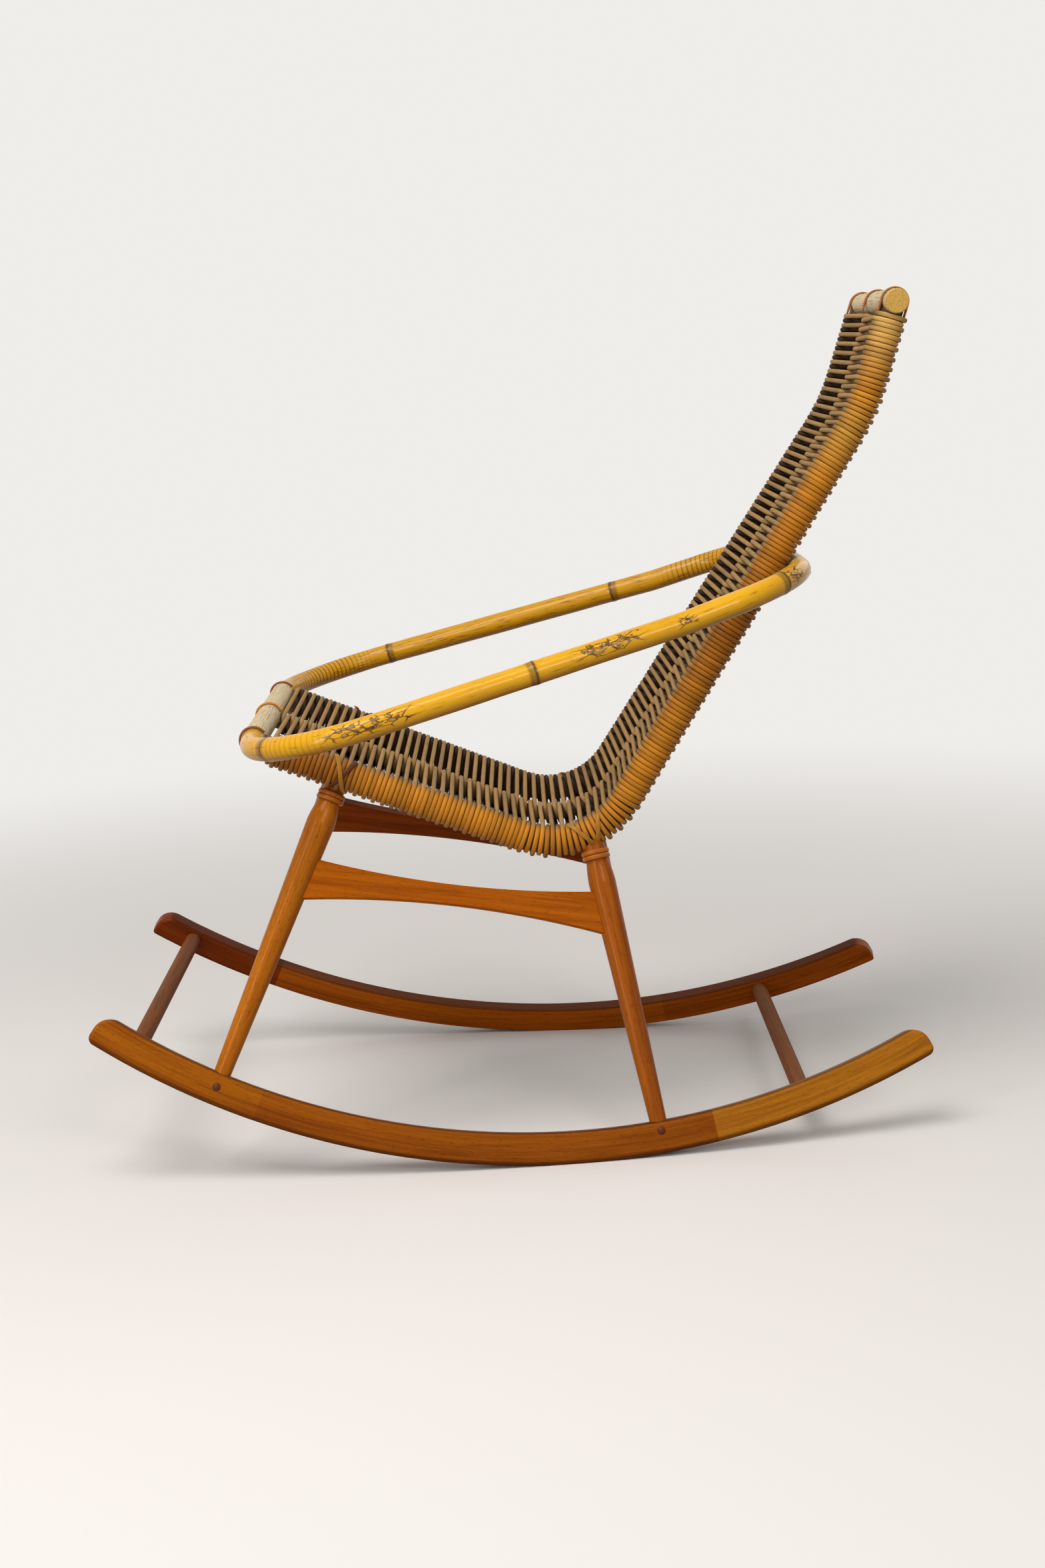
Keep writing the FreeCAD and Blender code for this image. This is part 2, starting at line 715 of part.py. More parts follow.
def rail_loop(at, x, turns, poles):
    """Turns of cane round a rail over a pole's end, open where the pole sits."""
    inner = RAIL_POLE_RADIUS + SEAT_GAP
    loops = []
    for index in range(turns):
        shift = (index - (turns - 1) / 2) * (CANE_WIDTH + GLUE_GAP)
        band = ring(inner, inner + CANE_THICKNESS, CANE_WIDTH, at + X_AXIS * (x + shift), X_AXIS)
        for each in poles:
            band = band.cut(each)
        loops.append(biggest(band))
    return Part.makeCompound(loops)


# The chair, piece by piece

def build():
    pieces = {}
    front_leg = Leg(FRONT_LEG_FOOT, FRONT_LEG_RAKE, FRONT_LEG_SHOULDER_RADIUS, FRONT_PIN_RISE)
    rear_leg = Leg(REAR_LEG_FOOT, REAR_LEG_RAKE, REAR_LEG_SHOULDER_RADIUS, REAR_PIN_RISE)
    legs = {"front": front_leg, "rear": rear_leg}

    # Rockers, glued up from three lengths, drilled for the legs, pins and stretchers
    block = rocker_block()
    rocker = block
    for leg in legs.values():
        rocker = rocker.cut(leg.tenon(SEAT_GAP)).cut(leg.pin_hole())
    for y in (FRONT_STRETCHER, REAR_STRETCHER):
        rocker = rocker.cut(stretcher_socket(y))
    for name, length in glued_lengths(rocker, LEFT_FRONT_GLUE_LINE, LEFT_REAR_GLUE_LINE).items():
        pieces["left_rocker_" + name] = length
    for name, length in glued_lengths(rocker, RIGHT_FRONT_GLUE_LINE, RIGHT_REAR_GLUE_LINE).items():
        pieces["right_rocker_" + name] = mirrored(length)

    # Legs, side rail and lashings of the left frame
    left = {}
    dowel_holes = rail_dowels(front_leg, rear_leg, SEAT_GAP)
    carried = [SEAT_RUN, LAP_BEND, BACK_RUN]
    woven = [sleeve_rod(each, WRAP_OUTER + SEAT_GAP) for each in carried]
    woven += [span_room(each) for each in carried]
    for name, leg in legs.items():
        body = biggest(leg.turning().cut([block] + woven))
        left[name + "_leg_lashing"] = leg.lashing(body)
        body = body.fuse(leg.tenon()).removeSplitter()
        left[name + "_leg"] = body.cut(leg.pin_hole()).cut(dowel_holes)
    left["side_rail"] = side_rail(front_leg, rear_leg)

    # Bent poles and the hoop
    nail_hole = nail(SEAT_GAP)
    side_pole = pole(SIDE_LINE, POLE_RADIUS)
    middle_pole = pole(MIDDLE_LINE, MIDDLE_POLE_RADIUS)
    left["side_pole"] = side_pole.cut(nail_hole)
    for name, shape in left.items():
        pieces["left_" + name] = shape
        pieces["right_" + name] = mirrored(shape)
    pieces["middle_pole"] = middle_pole
    pieces["arm_hoop"] = arm_hoop().cut(nail_hole).cut(mirrored(nail_hole))
    pieces["front_rail"] = straight_rail(FRONT_RAIL_AT, FRONT_RAIL_HALF)
    pieces["top_rail"] = end_rounded(straight_rail(TOP_RAIL_AT, TOP_RAIL_HALF))
    pieces["front_stretcher"] = stretcher(FRONT_STRETCHER)
    pieces["rear_stretcher"] = stretcher(REAR_STRETCHER)

    # Woven reed, the right half set half a pitch on from the left
    zones = {
        "seat": [SEAT_RUN.trimmed(WRAP_START, 0)],
        "lap": [LAP_BEND],
        "back": [BACK_RUN],
        "head": [HEAD_BEND, HEAD_RUN.trimmed(0, WRAP_END)],
    }
    for name, stretches in zones.items():
        left_weave = weave(stretches, LEFT_PHASE)
        right_weave = mirrored(weave(stretches, RIGHT_PHASE))
        if name == "back":
            left_weave = left_weave.cut(nail_hole)
            right_weave = right_weave.cut(mirrored(nail_hole))
        pieces["left_%s_weave" % name] = left_weave
        pieces["right_%s_weave" % name] = right_weave

    # Cane loops, pins and nails
    poles = [side_pole, mirrored(side_pole), middle_pole]
    for name, x in (("left", 1), ("middle", 0), ("right", -1)):
        pieces[name + "_front_lashing"] = rail_loop(FRONT_RAIL_AT, x * FRONT_RAIL_HALF, 1, poles)
        pieces[name + "_top_lashing"] = rail_loop(TOP_RAIL_AT, x * TOP_HALF, 2, poles)
    pins = [leg.pin() for leg in legs.values()]
    pieces["leg_pins"] = Part.makeCompound(pins + [mirrored(each) for each in pins])
    pieces["hoop_nails"] = Part.makeCompound([nail(), mirrored(nail())])

    set_down(pieces)
    return pieces


def set_down(pieces):
    """Rock the chair to its rest, weight over the point of contact, and centre it on the floor."""
    solids = [solid for shape in pieces.values() for solid in shape.Solids]
    volume = sum(solid.Volume for solid in solids)
    weight_y = sum(solid.CenterOfMass.y * solid.Volume for solid in solids) / volume
    weight_z = sum(solid.CenterOfMass.z * solid.Volume for solid in solids) / volume
    back = math.degrees(math.atan2(weight_y, SOLE_RADIUS - weight_z))
    for shape in pieces.values():
        shape.rotate(Vector(0, 0, SOLE_RADIUS), X_AXIS, -back)
    room = FreeCAD.BoundBox()
    for shape in pieces.values():
        room.add(shape.optimalBoundingBox(False, False))
    for shape in pieces.values():
        shape.translate(Vector(0, -room.Center.y, -room.ZMin))
    print("rocked back by %.3f degrees, then shifted by %.3f in Y and %.3f in Z"
          % (back, -room.Center.y, -room.ZMin))


os.makedirs("parts", exist_ok=True)
for node, piece in build().items():
    piece.exportStep("parts/%s.step" % node)
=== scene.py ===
import logging
import math
from dataclasses import dataclass
from enum import Enum
from typing import Any, Mapping, Sequence

import bpy
import numpy as np
from mathutils import Matrix, Vector


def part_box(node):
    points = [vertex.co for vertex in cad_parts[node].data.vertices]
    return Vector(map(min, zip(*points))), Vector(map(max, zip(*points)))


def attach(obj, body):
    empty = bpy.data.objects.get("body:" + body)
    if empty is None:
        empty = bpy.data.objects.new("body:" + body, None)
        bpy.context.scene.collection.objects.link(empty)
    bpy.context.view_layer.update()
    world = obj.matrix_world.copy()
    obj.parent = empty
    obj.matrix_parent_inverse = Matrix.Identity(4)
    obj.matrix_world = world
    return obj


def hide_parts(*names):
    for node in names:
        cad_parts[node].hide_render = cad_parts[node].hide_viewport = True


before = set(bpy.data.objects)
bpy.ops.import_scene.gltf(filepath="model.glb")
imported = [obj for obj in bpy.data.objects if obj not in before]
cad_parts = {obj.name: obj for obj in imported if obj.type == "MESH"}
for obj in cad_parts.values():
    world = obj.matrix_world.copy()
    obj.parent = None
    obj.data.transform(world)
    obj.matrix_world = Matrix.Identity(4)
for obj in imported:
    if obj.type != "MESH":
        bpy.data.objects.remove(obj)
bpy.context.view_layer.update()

# A rattan rocking chair. Sizes are in metres, in the pose that the chair was drawn in: depth along
# Y and height along Z from the point where the rockers touch the floor. RestPose carries all of it
# to where the empty chair comes to rest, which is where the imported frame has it.

MM = 0.001
LOG = logging.getLogger("rocking_chair")
ACROSS = np.array([1.0, 0.0, 0.0])  # to the sitter's left

Colour = tuple[float, float, float, float]
Paint = str | bpy.types.NodeSocket

# Settings and sockets that nodes of several finishes share. A colour mix takes how far one colour
# covers the other, and the two colours.
SMOOTH = {"interpolation_type": "SMOOTHSTEP"}
TIMES = {"operation": "MULTIPLY"}
TIMES_PLUS = {"operation": "MULTIPLY_ADD"}
COLOURS = {"data_type": "RGBA"}
SHARE, UNDER, OVER, MIXED = 0, 6, 7, 2
VARNISH_IOR = 1.5


class Half(Enum):
    """The sitter's left half of the chair, which is near in the photograph, or the right half."""

    LEFT = 1
    RIGHT = -1

    @property
    def word(self) -> str:
        """The half's name as the frame's nodes have it."""
        return self.name.lower()

    @property
    def mirror(self) -> np.ndarray:
        """What the points of the left half are multiplied by on this half."""
        return np.array([self.value, 1.0, 1.0])


class Timber(Enum):
    """The wooden pieces of a side frame, its rocker being glued up from three lengths."""

    ROCKER_FRONT = "rocker_front"
    ROCKER_MIDDLE = "rocker_middle"
    ROCKER_REAR = "rocker_rear"
    FRONT_LEG = "front_leg"
    REAR_LEG = "rear_leg"
    SIDE_RAIL = "side_rail"


def linear(code: str) -> Colour:
    """Turn an sRGB colour into the linear one that shaders take.

    Args:
        code: The colour as a hash and six hex digits.

    Returns:
        Red, green, blue and a full alpha.
    """
    channels = [int(code[at:at + 2], 16) / 255 for at in (1, 3, 5)]
    red, green, blue = [
        c / 12.92 if c <= 0.04045 else ((c + 0.055) / 1.055) ** 2.4 for c in channels]
    return red, green, blue, 1.0


def connect(tree: bpy.types.NodeTree, node: bpy.types.Node,
            inputs: Mapping[int | str, Any]) -> None:
    """Fill sockets of a node.

    Args:
        tree: The node tree that holds it.
        node: The node.
        inputs: For each socket, a socket to link from or a value to set.
    """
    for key, value in inputs.items():
        if isinstance(value, bpy.types.NodeSocket):
            tree.links.new(value, node.inputs[key])
        else:
            node.inputs[key].default_value = value


def add_node(tree: bpy.types.NodeTree, kind: str, settings: Mapping[str, Any] | None = None,
             inputs: Mapping[int | str, Any] | None = None) -> bpy.types.Node:
    """Add one shader node.

    Args:
        tree: The material's node tree.
        kind: The node's type, without its common prefix.
        settings: Properties of the node; "stops" are a ramp's positions and hex colours.
        inputs: For each socket, a socket to link from or a value to set.

    Returns:
        The new node.
    """
    node = tree.nodes.new("ShaderNode" + kind)
    for key, value in (settings or {}).items():
        if key != "stops":
            setattr(node, key, value)
            continue
        elements = node.color_ramp.elements
        while len(elements) < len(value):
            elements.new(1.0)
        for element, (position, code) in zip(elements, value):
            element.position = position
            element.color = linear(code)
    connect(tree, node, inputs or {})
    return node


def fibres(tree: bpy.types.NodeTree, place: bpy.types.NodeSocket, length: float, width: float,
           noise: Mapping[str, float]) -> bpy.types.NodeSocket:
    """Draw noise out along the first axis, as grain and fibres lie.

    Args:
        tree: The material's node tree.
        place: Coordinates in metres.
        length: How long a fibre is.
        width: How wide it is.
        noise: The noise's other inputs.

    Returns:
        The noise, which is about a half on average.
    """
    scaled = add_node(tree, "VectorMath", TIMES, {0: place, 1: (1 / length, 1 / width, 1 / width)})
    drawn = add_node(tree, "TexNoise", None, {"Vector": scaled.outputs[0], "Scale": 1.0, **noise})
    return drawn.outputs[0]


def layered(tree: bpy.types.NodeTree, first: Paint,
            *layers: tuple[bpy.types.NodeSocket, Paint]) -> bpy.types.NodeSocket:
    """Lay colours over one another.

    Args:
        tree: The material's node tree.
        first: The lowest colour, as a hex code or a socket.
        layers: For each colour over it, how far it covers, and the colour.

    Returns:
        The colour that shows.
    """
    shown = linear(first) if isinstance(first, str) else first
    for share, paint in layers:
        over = linear(paint) if isinstance(paint, str) else paint
        mix = add_node(tree, "Mix", COLOURS, {SHARE: share, UNDER: shown, OVER: over})
        shown = mix.outputs[MIXED]
    return shown


def start_material(name: str) -> tuple[bpy.types.Material, bpy.types.NodeTree, bpy.types.Node]:
    """Start a material with nothing but its shader and output.

    Args:
        name: The material's name.

    Returns:
        The material, its node tree and its shader.
    """
    material = bpy.data.materials.new(name)
    material.use_nodes = True
    tree = material.node_tree
    tree.nodes.clear()
    shader = add_node(tree, "BsdfPrincipled")
    add_node(tree, "OutputMaterial", None, {"Surface": shader.outputs[0]})
    return material, tree, shader


def camera_sees(tree: bpy.types.NodeTree) -> bpy.types.NodeSocket:
    """Tell what is seen from what only lights the chair.

    Args:
        tree: The nodes of the floor or the world.

    Returns:
        A socket that is 1 for what the camera sees, straight or in a gloss or through glass, and
        0 elsewhere.
    """
    path = add_node(tree, "LightPath")
    seen = path.outputs["Is Camera Ray"]
    for kind in ("Is Glossy Ray", "Is Transmission Ray"):
        either = {0: seen, 1: path.outputs[kind]}
        seen = add_node(tree, "Math", {"operation": "MAXIMUM"}, either).outputs[0]
    return seen


def dress(piece: bpy.types.Object, material: bpy.types.Material) -> None:
    """Give a piece one material all over.

    Args:
        piece: A mesh object, of the frame or of this file.
        material: The finish that it takes.
    """
    slots = piece.data.materials
    if not slots:
        slots.append(material)
    for index in range(len(slots)):
        slots[index] = material


def unit(vectors: np.ndarray) -> np.ndarray:
    """Scale vectors, the last axis being x, y and z, to a length of one."""
    return vectors / np.linalg.norm(vectors, axis=-1, keepdims=True)


def smooth_step(share: np.ndarray) -> np.ndarray:
    """Ease from 0 to 1, flat at both ends."""
    clipped = np.clip(share, 0.0, 1.0)
    return clipped * clipped * (3 - 2 * clipped)


def bell(along: np.ndarray, middle: float, half: float, power: int = 4) -> np.ndarray:
    """A mark that is 1 at its middle and fades out at half its width, sharply for a high power."""
    return np.exp(-((along - middle) / half) ** power)


def section(sides: int, squareness: float | np.ndarray, half_width: float,
            half_thickness: float) -> tuple[np.ndarray, np.ndarray]:
    """The outline of a reed or strip across its length, an oval with full corners.

    Args:
        sides: How many points it has.
        squareness: 2 for an ellipse, and more for a squarer oval; one, or one for each ring.
        half_width: Half the width.
        half_thickness: Half the thickness.

    Returns:
        How far each point lies to the side, and how far out.
    """
    around = np.linspace(0, 2 * math.pi, sides, endpoint=False)
    power = 2 / np.asarray(squareness)[..., None]
    wide, thick = [np.sign(way) * np.abs(way) ** power for way in (np.cos(around), np.sin(around))]
    return wide * half_width, thick * half_thickness


@dataclass(frozen=True)
class RestPose:
    """How the drawn chair stands when it rests empty: a turn about X, then a shift in Y and Z."""

    turn: float
    shift_y: float
    shift_z: float

    @classmethod
    def from_rails(cls, front: tuple[float, float], top: tuple[float, float]) -> "RestPose":
        """Read the pose from where the frame has its front rail and top rail.

        Args:
            front: The drawn depth and height of the front rail.
            top: The drawn depth and height of the top rail.

        Returns:
            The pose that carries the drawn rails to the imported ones.
        """
        stood = []
        for node in ("front_rail", "top_rail"):
            low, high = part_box(node)
            stood.append(((low.y + high.y) / 2, (low.z + high.z) / 2))
        drawn_slope = math.atan2(top[1] - front[1], top[0] - front[0])
        stood_slope = math.atan2(stood[1][1] - stood[0][1], stood[1][0] - stood[0][0])
        turn = stood_slope - drawn_slope
        shift_y = stood[0][0] - front[0] * math.cos(turn) + front[1] * math.sin(turn)
        shift_z = stood[0][1] - front[0] * math.sin(turn) - front[1] * math.cos(turn)
        return cls(turn, shift_y, shift_z)

    def matrix(self) -> Matrix:
        """The pose as a matrix."""
        shift = Matrix.Translation((0, self.shift_y, self.shift_z))
        return shift @ Matrix.Rotation(self.turn, 4, "X")

    def place(self, drawn: np.ndarray) -> np.ndarray:
        """Carry drawn points, the last axis being x, y and z, into the frame."""
        matrix = np.array(self.matrix())
        return drawn @ matrix[:3, :3].T + matrix[:3, 3]


class BentLine:
    """A pole's centre line: straights between corners, each inner corner rounded to a radius."""

    def __init__(self, corners: Sequence[Sequence[float]], radii: Sequence[float]) -> None:
        """Lay the line out finely.

        Args:
            corners: Points that the straights run through, first and last being the ends.
            radii: The bend's radius at each inner corner.
        """
        points = [np.array(corner, float) for corner in corners]
        laid = [points[0]]
        self.ends: list[float] = []
        self.bends: list[float | None] = []
        run = 0.0
        for before, corner, after, radius in zip(points, points[1:], points[2:], radii):
            into, out = unit(corner - before), unit(after - corner)
            angle = math.acos(float(into @ out))
            tangent = radius * math.tan(angle / 2)
            start = corner - into * tangent
            axis = unit(np.cross(into, out))
            arm = np.cross(into, axis) * radius
            run += float(np.linalg.norm(start - laid[-1]))
            laid.append(start)
            self.ends.append(run)
            self.bends.append(None)
            steps = max(2, round(radius * angle / MM))
            for step in range(1, steps + 1):
                at = angle * step / steps
                laid.append(start - arm + arm * math.cos(at) + np.cross(axis, arm) * math.sin(at))
            run += radius * angle
            self.ends.append(run)
            self.bends.append(radius)
        run += float(np.linalg.norm(points[-1] - laid[-1]))
        laid.append(points[-1])
        self.ends.append(run)
        self.bends.append(None)
        self.laid = np.array(laid)
        steps = np.linalg.norm(np.diff(self.laid, axis=0), axis=1)
        self.stations = np.concatenate([[0.0], np.cumsum(steps)])
        self.length = float(self.stations[-1])

    def at(self, distances: np.ndarray) -> np.ndarray:
        """Points of the line.

        Args:
            distances: How far along the line each point lies.

        Returns:
            One point for each distance.
        """
        columns = [np.interp(distances, self.stations, self.laid[:, axis]) for axis in range(3)]
        return np.stack(columns, axis=-1)

    def heading(self, distances: np.ndarray) -> np.ndarray:
        """Directions of the line, one for each distance along it."""
        after = self.at(np.minimum(distances + MM, self.length))
        return unit(after - self.at(np.maximum(distances - MM, 0)))


def swept(name: str, rings: np.ndarray, marks: Mapping[str, np.ndarray], flip: bool = False,
          endless: bool = False) -> bpy.types.Object:
    """Make a closed tube from rings of points.

    Args:
        name: The piece's name.
        rings: Points, as ring by point round it by x, y and z.
        marks: Values kept on the points for the finish, one number or one vector each.
        flip: Whether the rings run the other way round, as on a mirrored piece.
        endless: Whether the last ring joins the first, with no ends to close.

    Returns:
        The smooth mesh object, riding on the chair.
    """
    count, sides, _ = rings.shape
    index = np.arange(count * sides).reshape(count, sides)
    laps = np.concatenate([index, index[:1]]) if endless else index
    beside = np.roll(laps, -1, axis=1)
    quads = np.stack([laps[:-1], beside[:-1], beside[1:], laps[1:]], axis=-1).reshape(-1, 4)
    caps = [] if endless else [index[0][::-1].tolist(), index[-1].tolist()]
    if flip:
        quads = quads[:, ::-1]
        caps = [cap[::-1] for cap in caps]
    mesh = bpy.data.meshes.new(name)
    mesh.from_pydata(rings.reshape(-1, 3).tolist(), [], quads.tolist() + caps)
    mesh.polygons.foreach_set("use_smooth", [True] * len(quads) + [False] * len(caps))
    for key, values in marks.items():
        if values.shape == (count, sides, 3):
            kept = mesh.attributes.new(key, "FLOAT_VECTOR", "POINT")
            kept.data.foreach_set("vector", values.ravel())
        else:
            kept = mesh.attributes.new(key, "FLOAT", "POINT")
            spread = np.broadcast_to(values.reshape(count, -1), (count, sides))
            kept.data.foreach_set("value", spread.ravel())
    mesh.update()
    piece = bpy.data.objects.new(name, mesh)
    bpy.context.scene.collection.objects.link(piece)
    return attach(piece, "root")


# Finishes


@dataclass(frozen=True)
class VarnishedHardwood:
    """Stained hardwood, sanded and varnished.

    Fine grain runs along the piece, broad bands of darker figure lie under it, and the clear coat
    gives a soft sheen. A rocker is darker along the edges of its cheek.
    """

    name: str
    light: str
    dark: str
    placing: Matrix
    arc_radius: float = 0.0
    depth: float = 0.0
    edge: str = "#3E1C04"
    edge_strength: float = 0.7
    roughness: float = 0.35
    coat: float = 0.03
    coat_roughness: float = 0.1
    specular: float = 0.05
    grain_length: float = 55 * MM
    grain_width: float = 1.7 * MM
    grain_share: float = 0.5
    figure_length: float = 260 * MM
    figure_width: float = 8 * MM
    figure_share: float = 0.55
    # Beech has flecks of some 3 by 0.4 mm; they are drawn coarser, or the picture would lose them.
    fleck_length: float = 8 * MM
    fleck_width: float = 1.0 * MM
    fleck_strength: float = 0.45
    edge_width: float = 2.2 * MM
    relief: float = 0.3 * MM

    def coordinates(self, tree: bpy.types.NodeTree
                    ) -> tuple[bpy.types.NodeSocket, bpy.types.NodeSocket | None]:
        """Find where a point lies in the piece's own direction.

        Args:
            tree: The material's node tree.

        Returns:
            Coordinates whose first runs along the grain, and on a rocker the distance from the
            centre of its arc.
        """
        whole = add_node(tree, "TexCoord").outputs["Object"]
        local = add_node(tree, "Mapping", {"vector_type": "TEXTURE"}, {
            "Vector": whole,
            "Location": self.placing.translation,
            "Rotation": self.placing.to_euler(),
        }).outputs[0]
        if not self.arc_radius:
            return local, None
        across, along, up = add_node(tree, "SeparateXYZ", None, {0: local}).outputs
        drop = {0: self.arc_radius, 1: up}
        below = add_node(tree, "Math", {"operation": "SUBTRACT"}, drop).outputs[0]
        angle = add_node(tree, "Math", {"operation": "ARCTAN2"}, {0: along, 1: below})
        run = add_node(tree, "Math", TIMES, {0: angle.outputs[0], 1: self.arc_radius})
        spoke = add_node(tree, "CombineXYZ", None, {0: along, 1: below}).outputs[0]
        out = add_node(tree, "VectorMath", {"operation": "LENGTH"}, {0: spoke}).outputs["Value"]
        bent = add_node(tree, "CombineXYZ", None, {0: run.outputs[0], 1: out, 2: across})
        return bent.outputs[0], out

    def material(self) -> bpy.types.Material:
        """Make the material.

        Returns:
            Wood whose grain follows the piece's own direction, or a rocker's arc.
        """
        material, tree, shader = start_material(self.name)
        place, out = self.coordinates(tree)
        grain = fibres(tree, place, self.grain_length, self.grain_width,
                       {"Detail": 4.0, "Roughness": 0.65, "Distortion": 0.3})
        figure = fibres(tree, place, self.figure_length, self.figure_width,
                        {"Detail": 2.0, "Roughness": 0.5, "Distortion": 0.6})
        specks = fibres(tree, place, self.fleck_length, self.fleck_width, {"Detail": 1.0})
        bands = add_node(tree, "Math", TIMES, {0: figure, 1: self.figure_share})
        both = add_node(tree, "Math", TIMES_PLUS, {
            0: grain, 1: self.grain_share, 2: bands.outputs[0],
        })
        shade = add_node(tree, "MapRange", SMOOTH, {
            "Value": both.outputs[0], "From Min": 0.34, "From Max": 0.76,
        })
        flecks = add_node(tree, "MapRange", SMOOTH, {
            "Value": specks, "From Min": 0.6, "From Max": 0.72, "To Max": self.fleck_strength,
        })
        layers = [(shade.outputs[0], self.dark), (flecks.outputs[0], self.edge)]
        if out is not None:
            middle = {0: out, 1: self.arc_radius - self.depth / 2}
            away = add_node(tree, "Math", {"operation": "SUBTRACT"}, middle)
            aside = add_node(tree, "Math", {"operation": "ABSOLUTE"}, {0: away.outputs[0]})
            rim = add_node(tree, "MapRange", SMOOTH, {
                "Value": aside.outputs[0],
                "From Min": self.depth / 2 - 1.6 * self.edge_width,
                "From Max": self.depth / 2 - 0.2 * self.edge_width,
                "To Max": self.edge_strength,
            })
            layers.append((rim.outputs[0], self.edge))
        gloss = add_node(tree, "MapRange", None, {
            "Value": grain, "To Min": self.roughness - 0.06, "To Max": self.roughness + 0.08,
        })
        bump = add_node(tree, "Bump", None, {
            "Strength": 0.12, "Distance": self.relief, "Height": grain,
        })
        connect(tree, shader, {
            "Base Color": layered(tree, self.light, *layers),
            "Roughness": gloss.outputs[0],
            "Normal": bump.outputs[0],
            "IOR": VARNISH_IOR,
            "Specular IOR Level": self.specular,
            "Coat Weight": self.coat,
            "Coat Roughness": self.coat_roughness,
        })
        return material


@dataclass(frozen=True)
class DarkPeg:
    """Turned hardwood peg, stained nearly black and polished by hands: dark, with a highlight."""

    name: str = "stained_peg_wood"
    light: str = "#6E3A12"
    dark: str = "#46240A"
    grain: float = 1.2 * MM
    roughness: float = 0.36
    specular: float = 0.15

    def material(self) -> bpy.types.Material:
        """Make the material.

        Returns:
            Dark wood with faint end grain.
        """
        material, tree, shader = start_material(self.name)
        whole = add_node(tree, "TexCoord").outputs["Object"]
        noise = add_node(tree, "TexNoise", None, {
            "Vector": whole, "Scale": 1 / self.grain, "Detail": 2.0,
        })
        connect(tree, shader, {
            "Base Color": layered(tree, self.dark, (noise.outputs[0], self.light)),
            "Roughness": self.roughness,
            "IOR": VARNISH_IOR,
            "Specular IOR Level": self.specular,
        })
        return material


